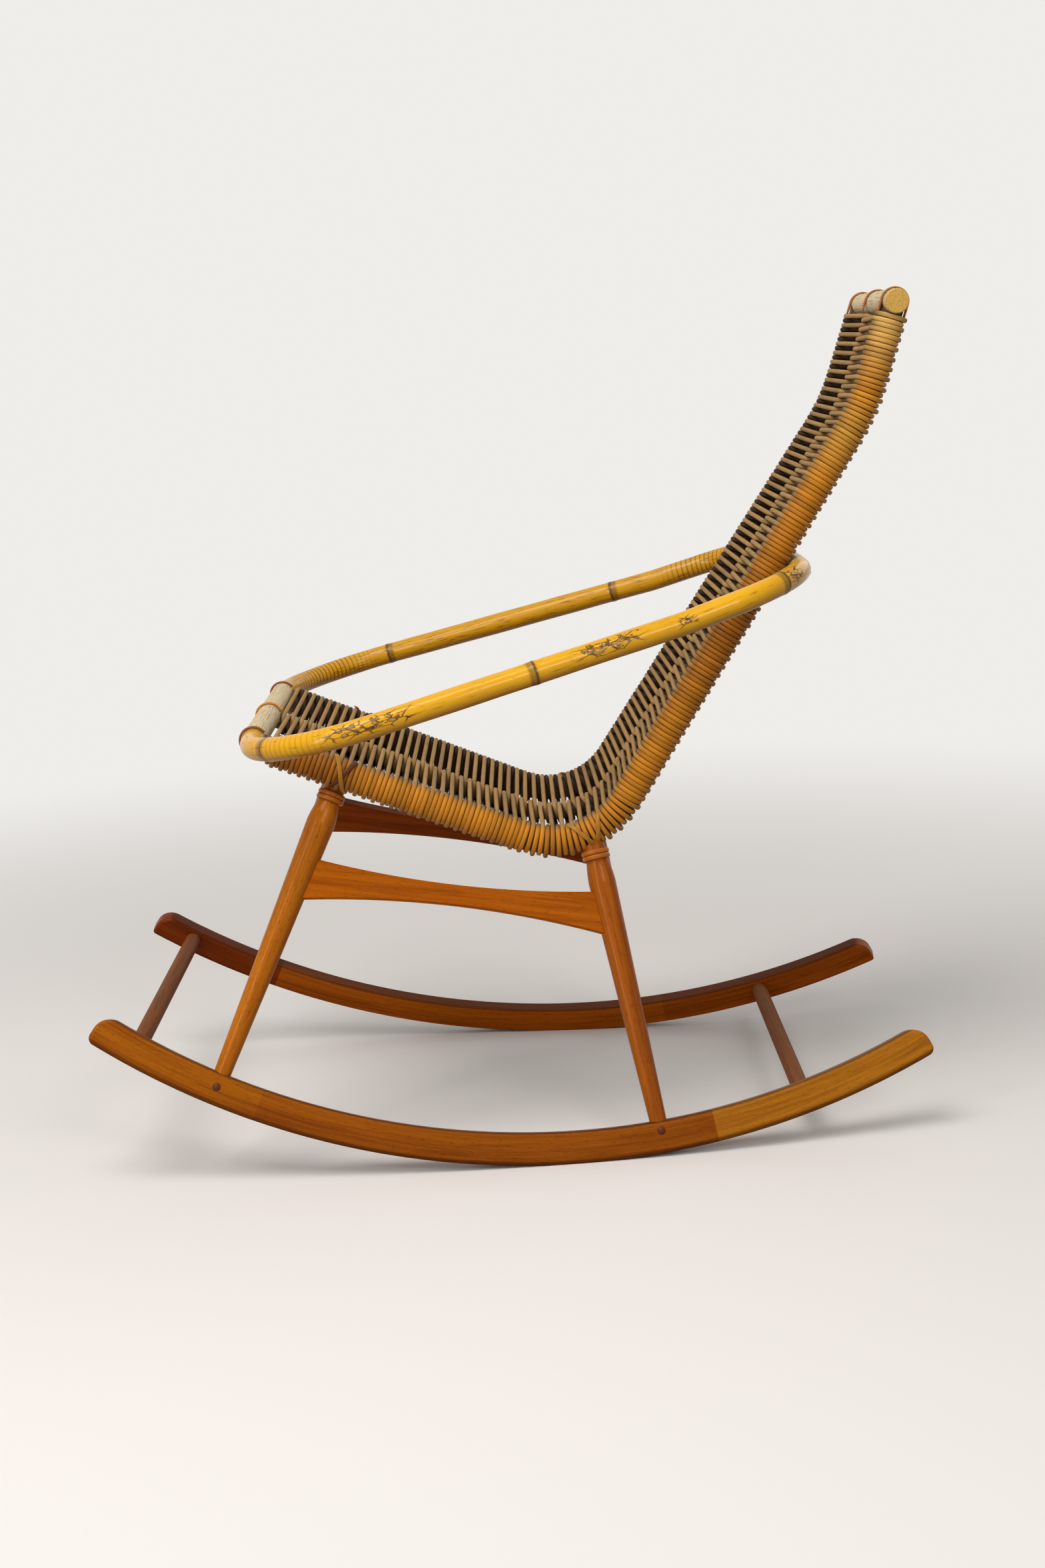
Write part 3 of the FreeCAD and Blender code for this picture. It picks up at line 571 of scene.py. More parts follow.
@dataclass(frozen=True)
class WovenReed:
    """Rattan reed, bent damp and wound on, varnished where it wraps the poles.

    The wraps are golden, glossy and uneven in tone, with fine fibres along the reed. The flat
    spans across the seat are worn matt and grey. The spans behind them are brown, darker partly
    from dust and partly as painted shade, and their inner faces, the hooks round the middle pole
    and the passes inside are painted near-black shade.
    """

    name: str = "wound_rattan_reed"
    span: str = "#9E7C4A"
    # The reed behind the seat: brown where it faces out, darker partly from dust and partly as
    # painted shade; inside is painted near-black shade on its inner faces, hooks and inner passes.
    behind: str = "#7C5C36"
    inside: str = "#1E0F06"
    dust: str = "#8E6840"
    fibre: str = "#54300E"
    # The wraps are amber by the front rail and low on the back, straw below the head, pale at the
    # top end, and golden between these. Places are shares of the way along the pole.
    amber: str = "#965A10"
    golden: str = "#C07D1E"
    straw: str = "#C08C34"
    pale: str = "#CCA55A"
    front_end: float = 0.07
    seat: tuple[float, float] = (0.14, 0.47)
    low_back: float = 0.64
    upper_back: float = 0.81
    below_head: float = 0.87
    head: float = 0.92
    top_end: float = 1.0
    fibre_length: float = 30 * MM
    fibre_width: float = 0.8 * MM
    fibre_strength: float = 0.55
    blotch: float = 45 * MM
    blotch_spread: float = 0.42
    tone_spread: float = 0.34
    tone_level: float = 0.62
    matt: float = 0.62
    glossy: float = 0.36
    gloss_spread: float = 0.12
    specular: float = 0.15
    relief: float = 0.3 * MM

    def material(self) -> bpy.types.Material:
        """Make the material.

        Returns:
            Reed coloured by where along the chair, and on which side of it, it lies.
        """
        material, tree, shader = start_material(self.name)
        marks = {key: add_node(tree, "Attribute", {"attribute_name": key}).outputs["Fac"]
                 for key in ("place", "coil", "tone", "tip", "back", "dark")}
        lie = add_node(tree, "Attribute", {"attribute_name": "lie"}).outputs["Vector"]
        fibre = fibres(tree, lie, self.fibre_length, self.fibre_width,
                       {"Detail": 3.0, "Roughness": 0.6})
        patch = add_node(tree, "TexNoise", None, {
            "Vector": lie, "Scale": 1 / self.blotch, "Detail": 2.0,
        })
        tones = (
            (self.front_end, self.amber), *((place, self.golden) for place in self.seat),
            (self.low_back, self.amber), (self.upper_back, self.golden),
            (self.below_head, self.straw), (self.head, self.golden), (self.top_end, self.pale),
        )
        wrap = add_node(tree, "ValToRGB", {"stops": tones}, {0: marks["place"]})
        # Painted shade: reed behind the seat that faces in is near-black, and where it faces out it
        # is brown.
        _, _, outward = add_node(tree, "SeparateXYZ", None, {0: lie}).outputs
        turned_out = add_node(tree, "MapRange", SMOOTH, {
            "Value": outward, "From Min": -1.0 * MM, "From Max": 0.8 * MM,
        })
        away = layered(tree, self.inside, (turned_out.outputs[0], self.behind))
        streak = add_node(tree, "MapRange", SMOOTH, {
            "Value": fibre, "From Min": 0.48, "From Max": 0.8, "To Max": self.fibre_strength,
        })
        # The back and dark marks lay painted shade, and the tip mark lays dust.
        colour = layered(
            tree, self.span, (marks["coil"], wrap.outputs[0]), (marks["back"], away),
            (marks["tip"], self.dust), (streak.outputs[0], self.fibre),
            (marks["dark"], self.inside))
        # Random tone, darkened where the tone mark carries painted shade on the back's wraps.
        level = add_node(tree, "Math", TIMES_PLUS, {
            0: marks["tone"], 1: self.tone_spread, 2: self.tone_level,
        })
        lit = add_node(tree, "Math", TIMES_PLUS, {
            0: patch.outputs[0], 1: self.blotch_spread, 2: level.outputs[0],
        })
        toned = add_node(tree, "HueSaturation", None, {"Value": lit.outputs[0], "Color": colour})
        sheen = add_node(tree, "MapRange", None, {
            "Value": marks["coil"], "To Min": self.matt, "To Max": self.glossy,
        })
        gloss = add_node(tree, "Math", TIMES_PLUS, {
            0: fibre, 1: self.gloss_spread, 2: sheen.outputs[0],
        })
        bump = add_node(tree, "Bump", None, {
            "Strength": 0.25, "Distance": self.relief, "Height": fibre,
        })
        connect(tree, shader, {
            "Base Color": toned.outputs[0],
            "Roughness": gloss.outputs[0],
            "Normal": bump.outputs[0],
            "IOR": VARNISH_IOR,
            "Specular IOR Level": self.specular,
        })
        return material


@dataclass(frozen=True)
class YellowCane:
    """Whole rattan pole with its yellow skin on, heat bent and varnished.

    The skin is bright and glossy with brown streaks along it, dark rings at the nodes, fine cross
    wrinkles on the inside of a bend, and matt patches where the skin has flaked off the pith. Its
    underside is painted brown as shade.
    """

    name: str = "yellow_rattan_pole"
    bright: str = "#E6AE08"
    deep: str = "#D09408"
    ochre: str = "#CC9410"
    under: str = "#8E5E10"
    # Painted shade: the brown that the underside turns to.
    streak: str = "#7E4E14"
    ring: str = "#4E3012"
    pith: str = "#AE8446"
    torn: str = "#4E300F"
    worn: str = "#B8924C"
    cloud: float = 60 * MM
    streak_length: float = 26 * MM
    streak_width: float = 1.8 * MM
    streak_strength: float = 0.8
    flake: float = 7 * MM
    crease: float = 6.5 * MM
    crease_strength: float = 0.9
    crack_strength: float = 0.85
    shade_strength: float = 0.8
    shade_from: float = -3 * MM
    shade_to: float = -12 * MM
    skin_roughness: float = 0.26
    pith_roughness: float = 0.62
    specular: float = 0.1
    coat: float = 0.3
    coat_roughness: float = 0.09
    relief: float = 0.4 * MM

    def material(self) -> bpy.types.Material:
        """Make the material.

        Returns:
            Yellow cane, its rings, flakes and wrinkles where the mesh marks them.
        """
        material, tree, shader = start_material(self.name)
        marks = {key: add_node(tree, "Attribute", {"attribute_name": key}).outputs["Fac"]
                 for key in ("ring", "peel", "wrinkle", "worn", "far")}
        lie = add_node(tree, "Attribute", {"attribute_name": "lie"}).outputs["Vector"]
        dash = fibres(tree, lie, self.streak_length, self.streak_width,
                      {"Detail": 3.0, "Roughness": 0.6})
        cloud = add_node(tree, "TexNoise", None, {
            "Vector": lie, "Scale": 1 / self.cloud, "Detail": 3.0,
        })
        # Painted shade: the underside turns brown from a little below the pole's middle height
        # down.
        _, _, height = add_node(tree, "SeparateXYZ", None, {0: lie}).outputs
        below = add_node(tree, "MapRange", SMOOTH, {
            "Value": height, "From Min": self.shade_from, "From Max": self.shade_to,
            "To Max": self.shade_strength,
        })
        # The far arm has a few more streaks than the near one.
        often = add_node(tree, "Math", TIMES_PLUS, {0: marks["far"], 1: 0.05, 2: dash})
        dashes = add_node(tree, "MapRange", SMOOTH, {
            "Value": often.outputs[0], "From Min": 0.60, "From Max": 0.71,
            "To Max": self.streak_strength,
        })
        # A wave texture has a period of 2 pi / 20 at a scale of 1.
        crease = add_node(tree, "TexWave", {"wave_type": "BANDS", "bands_direction": "X"}, {
            "Vector": lie, "Scale": math.pi / 10 / self.crease, "Distortion": 1.0,
            "Detail": 1.0, "Detail Scale": 0.3,
        })
        creased = add_node(tree, "MapRange", SMOOTH, {
            "Value": crease.outputs["Fac"], "From Min": 0.68, "From Max": 0.95,
            "To Max": self.crease_strength,
        })
        folded = add_node(tree, "Math", TIMES, {
            0: creased.outputs[0], 1: marks["wrinkle"],
        }).outputs[0]
        long, short = 1 / (1.6 * self.flake), 1 / (0.6 * self.flake)
        jag = add_node(tree, "VectorMath", TIMES, {0: lie, 1: (long, short, short)}).outputs[0]
        flakes = add_node(tree, "TexNoise", None, {
            "Vector": jag, "Scale": 1.0, "Detail": 3.0, "Roughness": 0.62,
        })
        torn = add_node(tree, "Math", {"operation": "ADD"}, {
            0: marks["peel"], 1: flakes.outputs[0],
        }).outputs[0]
        edge, bare = [add_node(tree, "MapRange", SMOOTH, {
            "Value": torn, "From Min": least, "From Max": most,
        }).outputs[0] for least, most in ((0.98, 1.02), (1.03, 1.08))]
        crazed = add_node(tree, "TexVoronoi", {"feature": "DISTANCE_TO_EDGE"}, {
            "Vector": jag, "Scale": 0.55,
        })
        line = add_node(tree, "MapRange", None, {
            "Value": crazed.outputs["Distance"], "From Min": 0.02, "From Max": 0.07,
            "To Min": self.crack_strength, "To Max": 0.0,
        })
        near = add_node(tree, "MapRange", SMOOTH, {
            "Value": marks["peel"], "From Min": 0.12, "From Max": 0.4,
        })
        crack = add_node(tree, "Math", TIMES, {0: line.outputs[0], 1: near.outputs[0]})
        colour = layered(
            tree, self.bright, (cloud.outputs[0], self.deep), (marks["far"], self.ochre),
            (below.outputs[0], self.under), (dashes.outputs[0], self.streak),
            (marks["worn"], self.worn), (folded, self.streak), (edge, self.torn),
            (bare, self.pith), (crack.outputs[0], self.torn), (marks["ring"], self.ring))
        gloss = add_node(tree, "MapRange", None, {
            "Value": edge, "To Min": self.skin_roughness, "To Max": self.pith_roughness,
        })
        sunk = add_node(tree, "Math", {"operation": "SUBTRACT"}, {0: dash, 1: edge})
        folds = add_node(tree, "Math", {"operation": "SUBTRACT"}, {0: sunk.outputs[0], 1: folded})
        bump = add_node(tree, "Bump", None, {
            "Strength": 0.3, "Distance": self.relief, "Height": folds.outputs[0],
        })
        connect(tree, shader, {
            "Base Color": colour,
            "Roughness": gloss.outputs[0],
            "Normal": bump.outputs[0],
            "IOR": VARNISH_IOR,
            "Specular IOR Level": self.specular,
            "Coat Weight": self.coat,
            "Coat Roughness": self.coat_roughness,
        })
        return material


@dataclass(frozen=True)
class PeeledPole:
    """Rattan pole with its skin scraped off: pale, matt, with open fibres and porous ends."""

    name: str
    pale: str = "#CCBA92"
    brown: str = "#8A6A38"
    end: str = "#CCA24C"
    end_at: float = 1.0
    fibre_length: float = 40 * MM
    fibre_width: float = 1.4 * MM
    pore: float = 1.6 * MM
    pore_strength: float = 0.75
    roughness: float = 0.55
    specular: float = 0.3
    relief: float = 0.4 * MM

    def material(self) -> bpy.types.Material:
        """Make the material.

        Returns:
            Pale pole along X, with end grain beyond the distance from the middle where it is cut.
        """
        material, tree, shader = start_material(self.name)
        whole = add_node(tree, "TexCoord").outputs["Object"]
        fibre = fibres(tree, whole, self.fibre_length, self.fibre_width,
                       {"Detail": 3.0, "Roughness": 0.6})
        lines = add_node(tree, "MapRange", SMOOTH, {
            "Value": fibre, "From Min": 0.46, "From Max": 0.74,
        })
        side = layered(tree, self.pale, (lines.outputs[0], self.brown))
        pores = add_node(tree, "TexVoronoi", None, {"Vector": whole, "Scale": 1 / self.pore})
        dots = add_node(tree, "MapRange", SMOOTH, {
            "Value": pores.outputs["Distance"], "From Min": 0.15, "From Max": 0.5,
            "To Min": self.pore_strength, "To Max": 0.0,
        })
        face = layered(tree, self.end, (dots.outputs[0], self.brown))
        across, _, _ = add_node(tree, "SeparateXYZ", None, {0: whole}).outputs
        out = add_node(tree, "Math", {"operation": "ABSOLUTE"}, {0: across})
        past_end = {0: out.outputs[0], 1: self.end_at}
        cut = add_node(tree, "Math", {"operation": "GREATER_THAN"}, past_end)
        bump = add_node(tree, "Bump", None, {
            "Strength": 0.25, "Distance": self.relief, "Height": fibre,
        })
        connect(tree, shader, {
            "Base Color": layered(tree, side, (cut.outputs[0], face)),
            "Normal": bump.outputs[0],
            "Roughness": self.roughness,
            "IOR": VARNISH_IOR,
            "Specular IOR Level": self.specular,
        })
        return material


@dataclass(frozen=True)
class CaneStrip:
    """Split cane, the shiny outer skin of rattan in flat strips: smooth, orange brown, mottled."""

    name: str
    light: str
    dark: str
    mottle: float = 8.8 * MM
    roughness: float = 0.34
    specular: float = 0.2
    coat: float = 0.05
    coat_roughness: float = 0.15
    relief: float = 0.3 * MM

    def material(self) -> bpy.types.Material:
        """Make the material.

        Returns:
            Glossy cane with mottled tone.
        """
        material, tree, shader = start_material(self.name)
        whole = add_node(tree, "TexCoord").outputs["Object"]
        mottle = add_node(tree, "TexNoise", None, {
            "Vector": whole, "Scale": 1 / self.mottle, "Detail": 4.0, "Roughness": 0.65,
        })
        bump = add_node(tree, "Bump", None, {
            "Strength": 0.15, "Distance": self.relief, "Height": mottle.outputs[0],
        })
        connect(tree, shader, {
            "Base Color": layered(tree, self.light, (mottle.outputs[0], self.dark)),
            "Normal": bump.outputs[0],
            "Roughness": self.roughness,
            "IOR": VARNISH_IOR,
            "Specular IOR Level": self.specular,
            "Coat Weight": self.coat,
            "Coat Roughness": self.coat_roughness,
        })
        return material


@dataclass(frozen=True)
class BrightNail:
    """Drawn steel nail, its head struck flat: grey metal, a little dull with age."""

    name: str = "drawn_steel_nail"
    clean: str = "#A9A7A2"
    dull: str = "#7C746A"
    tarnish: float = 2 * MM
    roughness: float = 0.38

    def material(self) -> bpy.types.Material:
        """Make the material.

        Returns:
            Dull steel.
        """
        material, tree, shader = start_material(self.name)
        whole = add_node(tree, "TexCoord").outputs["Object"]
        tarnish = add_node(tree, "TexNoise", None, {
            "Vector": whole, "Scale": 1 / self.tarnish, "Detail": 3.0,
        })
        connect(tree, shader, {
            "Base Color": layered(tree, self.clean, (tarnish.outputs[0], self.dull)),
            "Metallic": 1.0,
            "Roughness": self.roughness,
        })
        return material


@dataclass(frozen=True)
class StudioPaper:
    """Painted studio floor: matt, pale and warm, fading into the backdrop with distance.

    It throws back less light than it shows, so that the chair's undersides stay dark.
    """

    name: str = "pale_matt_floor_paint"
    paint: str = "#E6E3DF"
    thrown: str = "#A29A92"
    backdrop: str = "#EFEDEA"
    fade_from: float = 0.75
    fade_to: float = 2.6
    roughness: float = 0.8
    specular: float = 0.1

    def material(self) -> bpy.types.Material:
        """Make the material.

        Returns:
            Plain floor paint that turns into the backdrop where the camera looks far out.
        """
        material, tree, shader = start_material(self.name)
        seen = camera_sees(tree)
        connect(tree, shader, {
            "Base Color": layered(tree, self.thrown, (seen, self.paint)),
            "Roughness": self.roughness,
            "Specular IOR Level": self.specular,
        })
        place = add_node(tree, "NewGeometry").outputs["Position"]
        out = add_node(tree, "VectorMath", {"operation": "LENGTH"}, {0: place})
        far = add_node(tree, "MapRange", SMOOTH, {
            "Value": out.outputs["Value"], "From Min": self.fade_from, "From Max": self.fade_to,
        })
        share = add_node(tree, "Math", TIMES, {0: far.outputs[0], 1: seen})
        glow = add_node(tree, "Emission", None, {"Color": linear(self.backdrop), "Strength": 1.0})
        mixed = add_node(tree, "MixShader", None, {
            0: share.outputs[0], 1: shader.outputs[0], 2: glow.outputs[0],
        })
        output = next(node for node in tree.nodes if node.type == "OUTPUT_MATERIAL")
        connect(tree, output, {"Surface": mixed.outputs[0]})
        return material


# The chair's own layout


@dataclass(frozen=True)
class Layout:
    """Where the chair's main lines lie, as drawn."""

    front_rail: tuple[float, float] = (-313.6 * MM, 458.5 * MM)
    lap_corner: tuple[float, float] = (56.9 * MM, 320.2 * MM)
    head_corner: tuple[float, float] = (358.3 * MM, 818.8 * MM)
    top_rail: tuple[float, float] = (389.5 * MM, 932.7 * MM)
    front_drop: float = 3.5 * MM
    front_half: float = 175 * MM
    lap_half: float = 154 * MM
    head_half: float = 112 * MM
    top_half: float = 106 * MM
    lap_bend: float = 95 * MM
    head_bend: float = 250 * MM
    wrap_outer: float = 18.5 * MM

    def side_line(self) -> BentLine:
        """The centre line of the left side pole, from the front rail to the top rail."""
        halves = (self.front_half, self.lap_half, self.head_half, self.top_half)
        front = (self.front_rail[0], self.front_rail[1] - self.front_drop)
        places = (front, self.lap_corner, self.head_corner, self.top_rail)
        corners = [(half, *place) for half, place in zip(halves, places)]
        return BentLine(corners, (self.lap_bend, self.head_bend))


# The light and the dark of each piece's stain. The far frame's colours are mostly darker than the
# near one's.
STAINS: dict[Half, dict[Timber, tuple[str, str]]] = {
    Half.LEFT: {
        Timber.ROCKER_FRONT: ("#A55D0A", "#7B3B04"),
        Timber.ROCKER_MIDDLE: ("#9C540A", "#733404"),
        Timber.ROCKER_REAR: ("#B77518", "#8E520E"),
        Timber.FRONT_LEG: ("#B86A05", "#904903"),
        Timber.REAR_LEG: ("#AB5A04", "#833E02"),
        Timber.SIDE_RAIL: ("#B86004", "#8E4402"),
    },
    Half.RIGHT: {
        Timber.ROCKER_FRONT: ("#803404", "#582002"),
        Timber.ROCKER_MIDDLE: ("#AE5806", "#783604"),
        Timber.ROCKER_REAR: ("#A04C06", "#703203"),
        Timber.FRONT_LEG: ("#A85A04", "#7C3C02"),
        Timber.REAR_LEG: ("#A85A04", "#7C3C02"),
        Timber.SIDE_RAIL: ("#8A3C06", "#602403"),
    },
}


# Sub-assemblies


@dataclass
class SideFrames:
    """Both leaning frames: rockers in three lengths, legs, side rails, pins, and the stretchers."""

    pose: RestPose
    track: float = 518 * MM
    lean: float = 16.0
    toe_in: float = 3.1
    sole_radius: float = 944 * MM
    rocker_depth: float = 33 * MM
    front_foot: float = -353 * MM
    front_rake: float = 21.9
    rear_foot: float = 135.5 * MM
    rear_rake: float = -12.0
    rail_drop: float = -0.118
    leg_roughness: float = 0.3
    leg_coat: float = 0.15
    stretcher_stain: tuple[str, str] = ("#7D491F", "#5B3015")
    stretcher_roughness: float = 0.55

    def plane(self, half: Half) -> Matrix:
        """The frame's own plane: across the cheek, along the chair, up the lean.

        Args:
            half: Which side frame.

        Returns:
            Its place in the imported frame.
        """
        side = half.value
        toe = Matrix.Rotation(math.radians(side * self.toe_in), 4, "Z")
        lean = Matrix.Rotation(math.radians(-side * self.lean), 4, "Y")
        foot = Matrix.Translation((side * self.track / 2, 0, 0))
        return self.pose.matrix() @ foot @ toe @ lean

    def along(self, half: Half, foot: float, slope: float) -> Matrix:
        """Axes of a straight piece in the frame's plane.

        Args:
            half: Which side frame.
            foot: Where along the chair the piece starts.
            slope: Its angle in the plane, from upright, in radians.

        Returns:
            A place whose first axis runs along the piece.
        """
        run = Vector((0, math.sin(slope), math.cos(slope)))
        side = Vector((1, 0, 0))
        axes = Matrix((run, side, run.cross(side))).transposed().to_4x4()
        return self.plane(half) @ Matrix.Translation((0, foot, 0)) @ axes

    def dress(self) -> None:
        """Give every piece of both frames its wood."""
        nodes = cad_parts
        arc = self.sole_radius * math.cos(math.radians(self.lean))
        legs = {Timber.FRONT_LEG: (self.front_foot, self.front_rake),
                Timber.REAR_LEG: (self.rear_foot, self.rear_rake)}
        for half, stains in STAINS.items():
            for timber, stain in stains.items():
                name = f"{half.word}_{timber.value}"
                wood = f"varnished_beech_{name}"
                if timber in legs:
                    foot, rake = legs[timber]
                    finish = VarnishedHardwood(
                        wood, *stain, self.along(half, foot, math.radians(rake)),
                        roughness=self.leg_roughness, coat=self.leg_coat)
                elif timber is Timber.SIDE_RAIL:
                    slope = math.pi / 2 - self.rail_drop
                    finish = VarnishedHardwood(wood, *stain, self.along(half, 0.0, slope))
                else:
                    finish = VarnishedHardwood(wood, *stain, self.plane(half), arc_radius=arc,
                                               depth=self.rocker_depth)
                dress(nodes[name], finish.material())
        stretcher = VarnishedHardwood(
            "stained_beech_stretcher", *self.stretcher_stain, Matrix.Identity(4),
            roughness=self.stretcher_roughness, coat=0.0).material()
        for name in ("front_stretcher", "rear_stretcher"):
            dress(nodes[name], stretcher)
        dress(nodes["leg_pins"], DarkPeg().material())
        LOG.info("side frames: rockers, legs, side rails, stretchers and pins dressed")


@dataclass
class WovenSeat:
    """The reed of seat and back: on each half one reed, wound round side pole and middle pole."""

    pose: RestPose
    layout: Layout
    pitch: float = 10.5 * MM
    wrap_start: float = 15.2 * MM
    wrap_end: float = 17 * MM
    side_radius: float = 16.0 * MM
    middle_radius: float = 10.7 * MM
    half_width: float = 2.62 * MM
    half_thickness: float = 2.3 * MM
    proud: float = 1.7 * MM
    tucked: float = 0.3 * MM
    squareness: float = 3.0
    roundness: float = 2.3
    golden: float = math.radians(48)
    fading: float = math.radians(26)
    sides: int = 12
    seed: int = 11
    # How unevenly the reed lies: along the pole in pitches, off the pole, and slack in a span.
    wobble: float = 0.010
    waver: float = 0.14 * MM
    slack: float = 0.3 * MM
    # From here along the pole the back turns away from the light, and its wraps' tops get painted
    # shade.
    shade_from: float = 0.40
    shade_over: float = 0.08
    shade: float = 0.7
    shade_angle: float = math.radians(5)
    shade_turn: float = math.radians(45)
    dusty_tip: float = 0.6

    def stations(self, line: BentLine) -> tuple[np.ndarray, np.ndarray]:
        """How far along the pole each turn of the reed lies.

        Args:
            line: The side pole's centre line.

        Returns:
            Turn numbers and, for each, its distance along the line, to read between.
        """
        inner_reach = self.middle_radius + self.half_thickness
        edges = [0.0, *line.ends]
        edges[0], edges[-1] = self.wrap_start, line.length - self.wrap_end
        turns, places = [0.0], [edges[0]]
        for start, end, radius in zip(edges, edges[1:], line.bends):
            pitch = self.pitch if radius is None else self.pitch * radius / (radius - inner_reach)
            turns.append(turns[-1] + max(1, int((end - start) / pitch)))
            places.append(end)
        return np.array(turns), np.array(places)

    def winding(self, half: Half, line: BentLine) -> tuple[np.ndarray, dict[str, np.ndarray]]:
        """The reed's own centre line on one half, with its outward direction and marks.

        Args:
            half: Which half.
            line: The left side pole's centre line.

        Returns:
            Rings of points as drawn, and the marks that the finish reads.
        """
        rng = np.random.default_rng(self.seed + half.value)
        turns, places = self.stations(line)
        first = 0.5 if half is Half.LEFT else 0.0
        count = int(turns[-1] - first) + 1
        # One pitch of the winding: wrap, span in front, hook, span behind, wrap, pass inside.
        steps = (13, 9, 8, 9, 13, 8)
        wrap, span, hook = (np.linspace(0, 1, many, endpoint=False) for many in steps[:3])
        no_wrap, no_span, no_hook = 0 * wrap, 0 * span, 0 * hook
        lift = smooth_step(hook) / 2
        # Shares of a wrap, a span or a hook: where each of these starts, and how long it takes.
        at_rear = 1 - smooth_step((wrap - 0.2) / 0.24)
        tuck = smooth_step((wrap - 0.72) / 0.2)
        under_seat = 1 - smooth_step((span - 0.8) / 0.2)
        under_hook = 0.85 * smooth_step((hook - 0.35) / 0.4)

        def pitches(*parts: np.ndarray) -> np.ndarray:
            """Repeat one pitch's values, given part by part, for every pitch."""
            return np.tile(np.concatenate(parts), count)

        def drawn(values: np.ndarray) -> np.ndarray:
            """Repeat one value for each part of each pitch over that part's points."""
            return values.repeat(steps, axis=1).ravel()

        turn = pitches(no_wrap, no_span, lift, no_span + 0.5, no_wrap + 0.5, lift + 0.5)
        share = pitches(no_wrap, span, no_hook + 1, 1 - span, no_wrap, no_hook)
        swing = pitches(wrap, no_span + 1, no_hook, no_span, wrap, no_hook)
        round_back = pitches(no_wrap, no_span, hook, no_span, no_wrap, hook)
        hooked = pitches(no_wrap, no_span, no_hook + 1, no_span, no_wrap, no_hook + 1)
        rear_bead = pitches(no_wrap, no_span, no_hook, no_span, at_rear, no_hook)
        rear_dip = pitches(at_rear, no_span, no_hook, no_span, no_wrap, no_hook)
        front_dip = pitches(no_wrap, no_span, no_hook, no_span, tuck, no_hook)
        # Painted shade: the back and dark marks darken the hooks, the spans behind and the passes
        # inside.
        back = pitches(no_wrap, no_span, smooth_step(hook), under_seat, 0.8 * tuck, no_hook + 0.8)
        dark = pitches(no_wrap, no_span, under_hook, no_span, no_wrap, no_hook + 0.9)
        each = (count, len(steps))
        jitter = drawn(rng.normal(0, self.wobble, each))
        whole = np.arange(count).repeat(sum(steps))
        station = np.interp(whole + first + turn + jitter, turns, places)
        station = np.clip(station, places[0], places[-1])
        pole = line.at(station)
        run = unit(line.heading(station) * (1 - ACROSS))
        face = np.cross(ACROSS, run)
        reach = pole[:, 0]
        tangent = np.arccos(-(self.side_radius - self.middle_radius) / reach)
        angle = np.where(hooked > 0, tangent + round_back * (2 * math.pi - 2 * tangent),
                         -tangent + 2 * tangent * swing)
        radius = self.side_radius * (1 - share) + self.middle_radius * share
        radius += drawn(rng.normal(0, self.waver, each))
        radius += self.proud * rear_bead - self.tucked * rear_dip - 2 * self.tucked * front_dip
        radius += drawn(rng.normal(-self.slack, self.slack, each)) * 4 * share * (1 - share)
        outward = np.cos(angle)[:, None] * ACROSS + np.sin(angle)[:, None] * face
        centre = pole * (1 - ACROSS) + ACROSS * (reach * (1 - share))[:, None]
        path = centre + outward * radius[:, None]
        ahead = unit(np.gradient(path, axis=0))
        flat = unit(np.cross(ahead, outward))
        out = np.cross(flat, ahead)
        coil = 1 - smooth_step((np.abs(angle) - self.golden) / self.fading)
        coil = coil * (1 - hooked) * (1 - share)
        squareness = self.roundness + (self.squareness - self.roundness) * coil
        wide, thick = section(self.sides, squareness, self.half_width, self.half_thickness)
        rings = path[:, None] + flat[:, None] * wide[..., None] + out[:, None] * thick[..., None]
        lengths = np.linalg.norm(np.diff(path, axis=0), axis=1)
        length = np.concatenate([[0.0], np.cumsum(lengths)])
        LOG.info("%s reed is %.1f m long", half.word, length[-1])
        place = (station - places[0]) / (places[-1] - places[0])
        # Painted shade on the back's wraps that turn from the light.
        turned_away = smooth_step((angle - self.shade_angle) / self.shade_turn)
        turned_away *= smooth_step((place - self.shade_from) / self.shade_over)
        marks = {
            "lie": np.stack([np.broadcast_to(length[:, None], wide.shape), wide, thick], axis=-1),
            "place": place,
            "coil": coil,
            # Random tone, less painted shade where the back's wraps turn from the light.
            "tone": drawn(rng.uniform(0, 1, each)) - self.shade * turned_away * coil,
            "tip": rear_bead * self.dusty_tip,
            "back": back,
            "dark": dark,
        }
        return rings, marks

    def build(self) -> None:
        """Wind both halves, in place of the frame's plain weave."""
        line = self.layout.side_line()
        material = WovenReed().material()
        for half in Half:
            rings, marks = self.winding(half, line)
            placed = self.pose.place(rings * half.mirror)
            piece = swept(f"{half.word}_wound_reed", placed, marks, flip=half is Half.RIGHT)
            zones = ("seat", "lap", "back", "head")
            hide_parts(*[f"{half.word}_{zone}_weave" for zone in zones])
            dress(piece, material)
            LOG.info("%s: %d points", piece.name, len(piece.data.vertices))


@dataclass(frozen=True)
class Flake:
    """A patch where the hoop's skin has flaked.

    It lies at a distance from the hoop's left end and, in degrees, up from its outer side. It has
    half a length, half a width in degrees round the hoop, and a strength.
    """

    at: float
    side: float
    half_length: float
    half_width: float
    strength: float


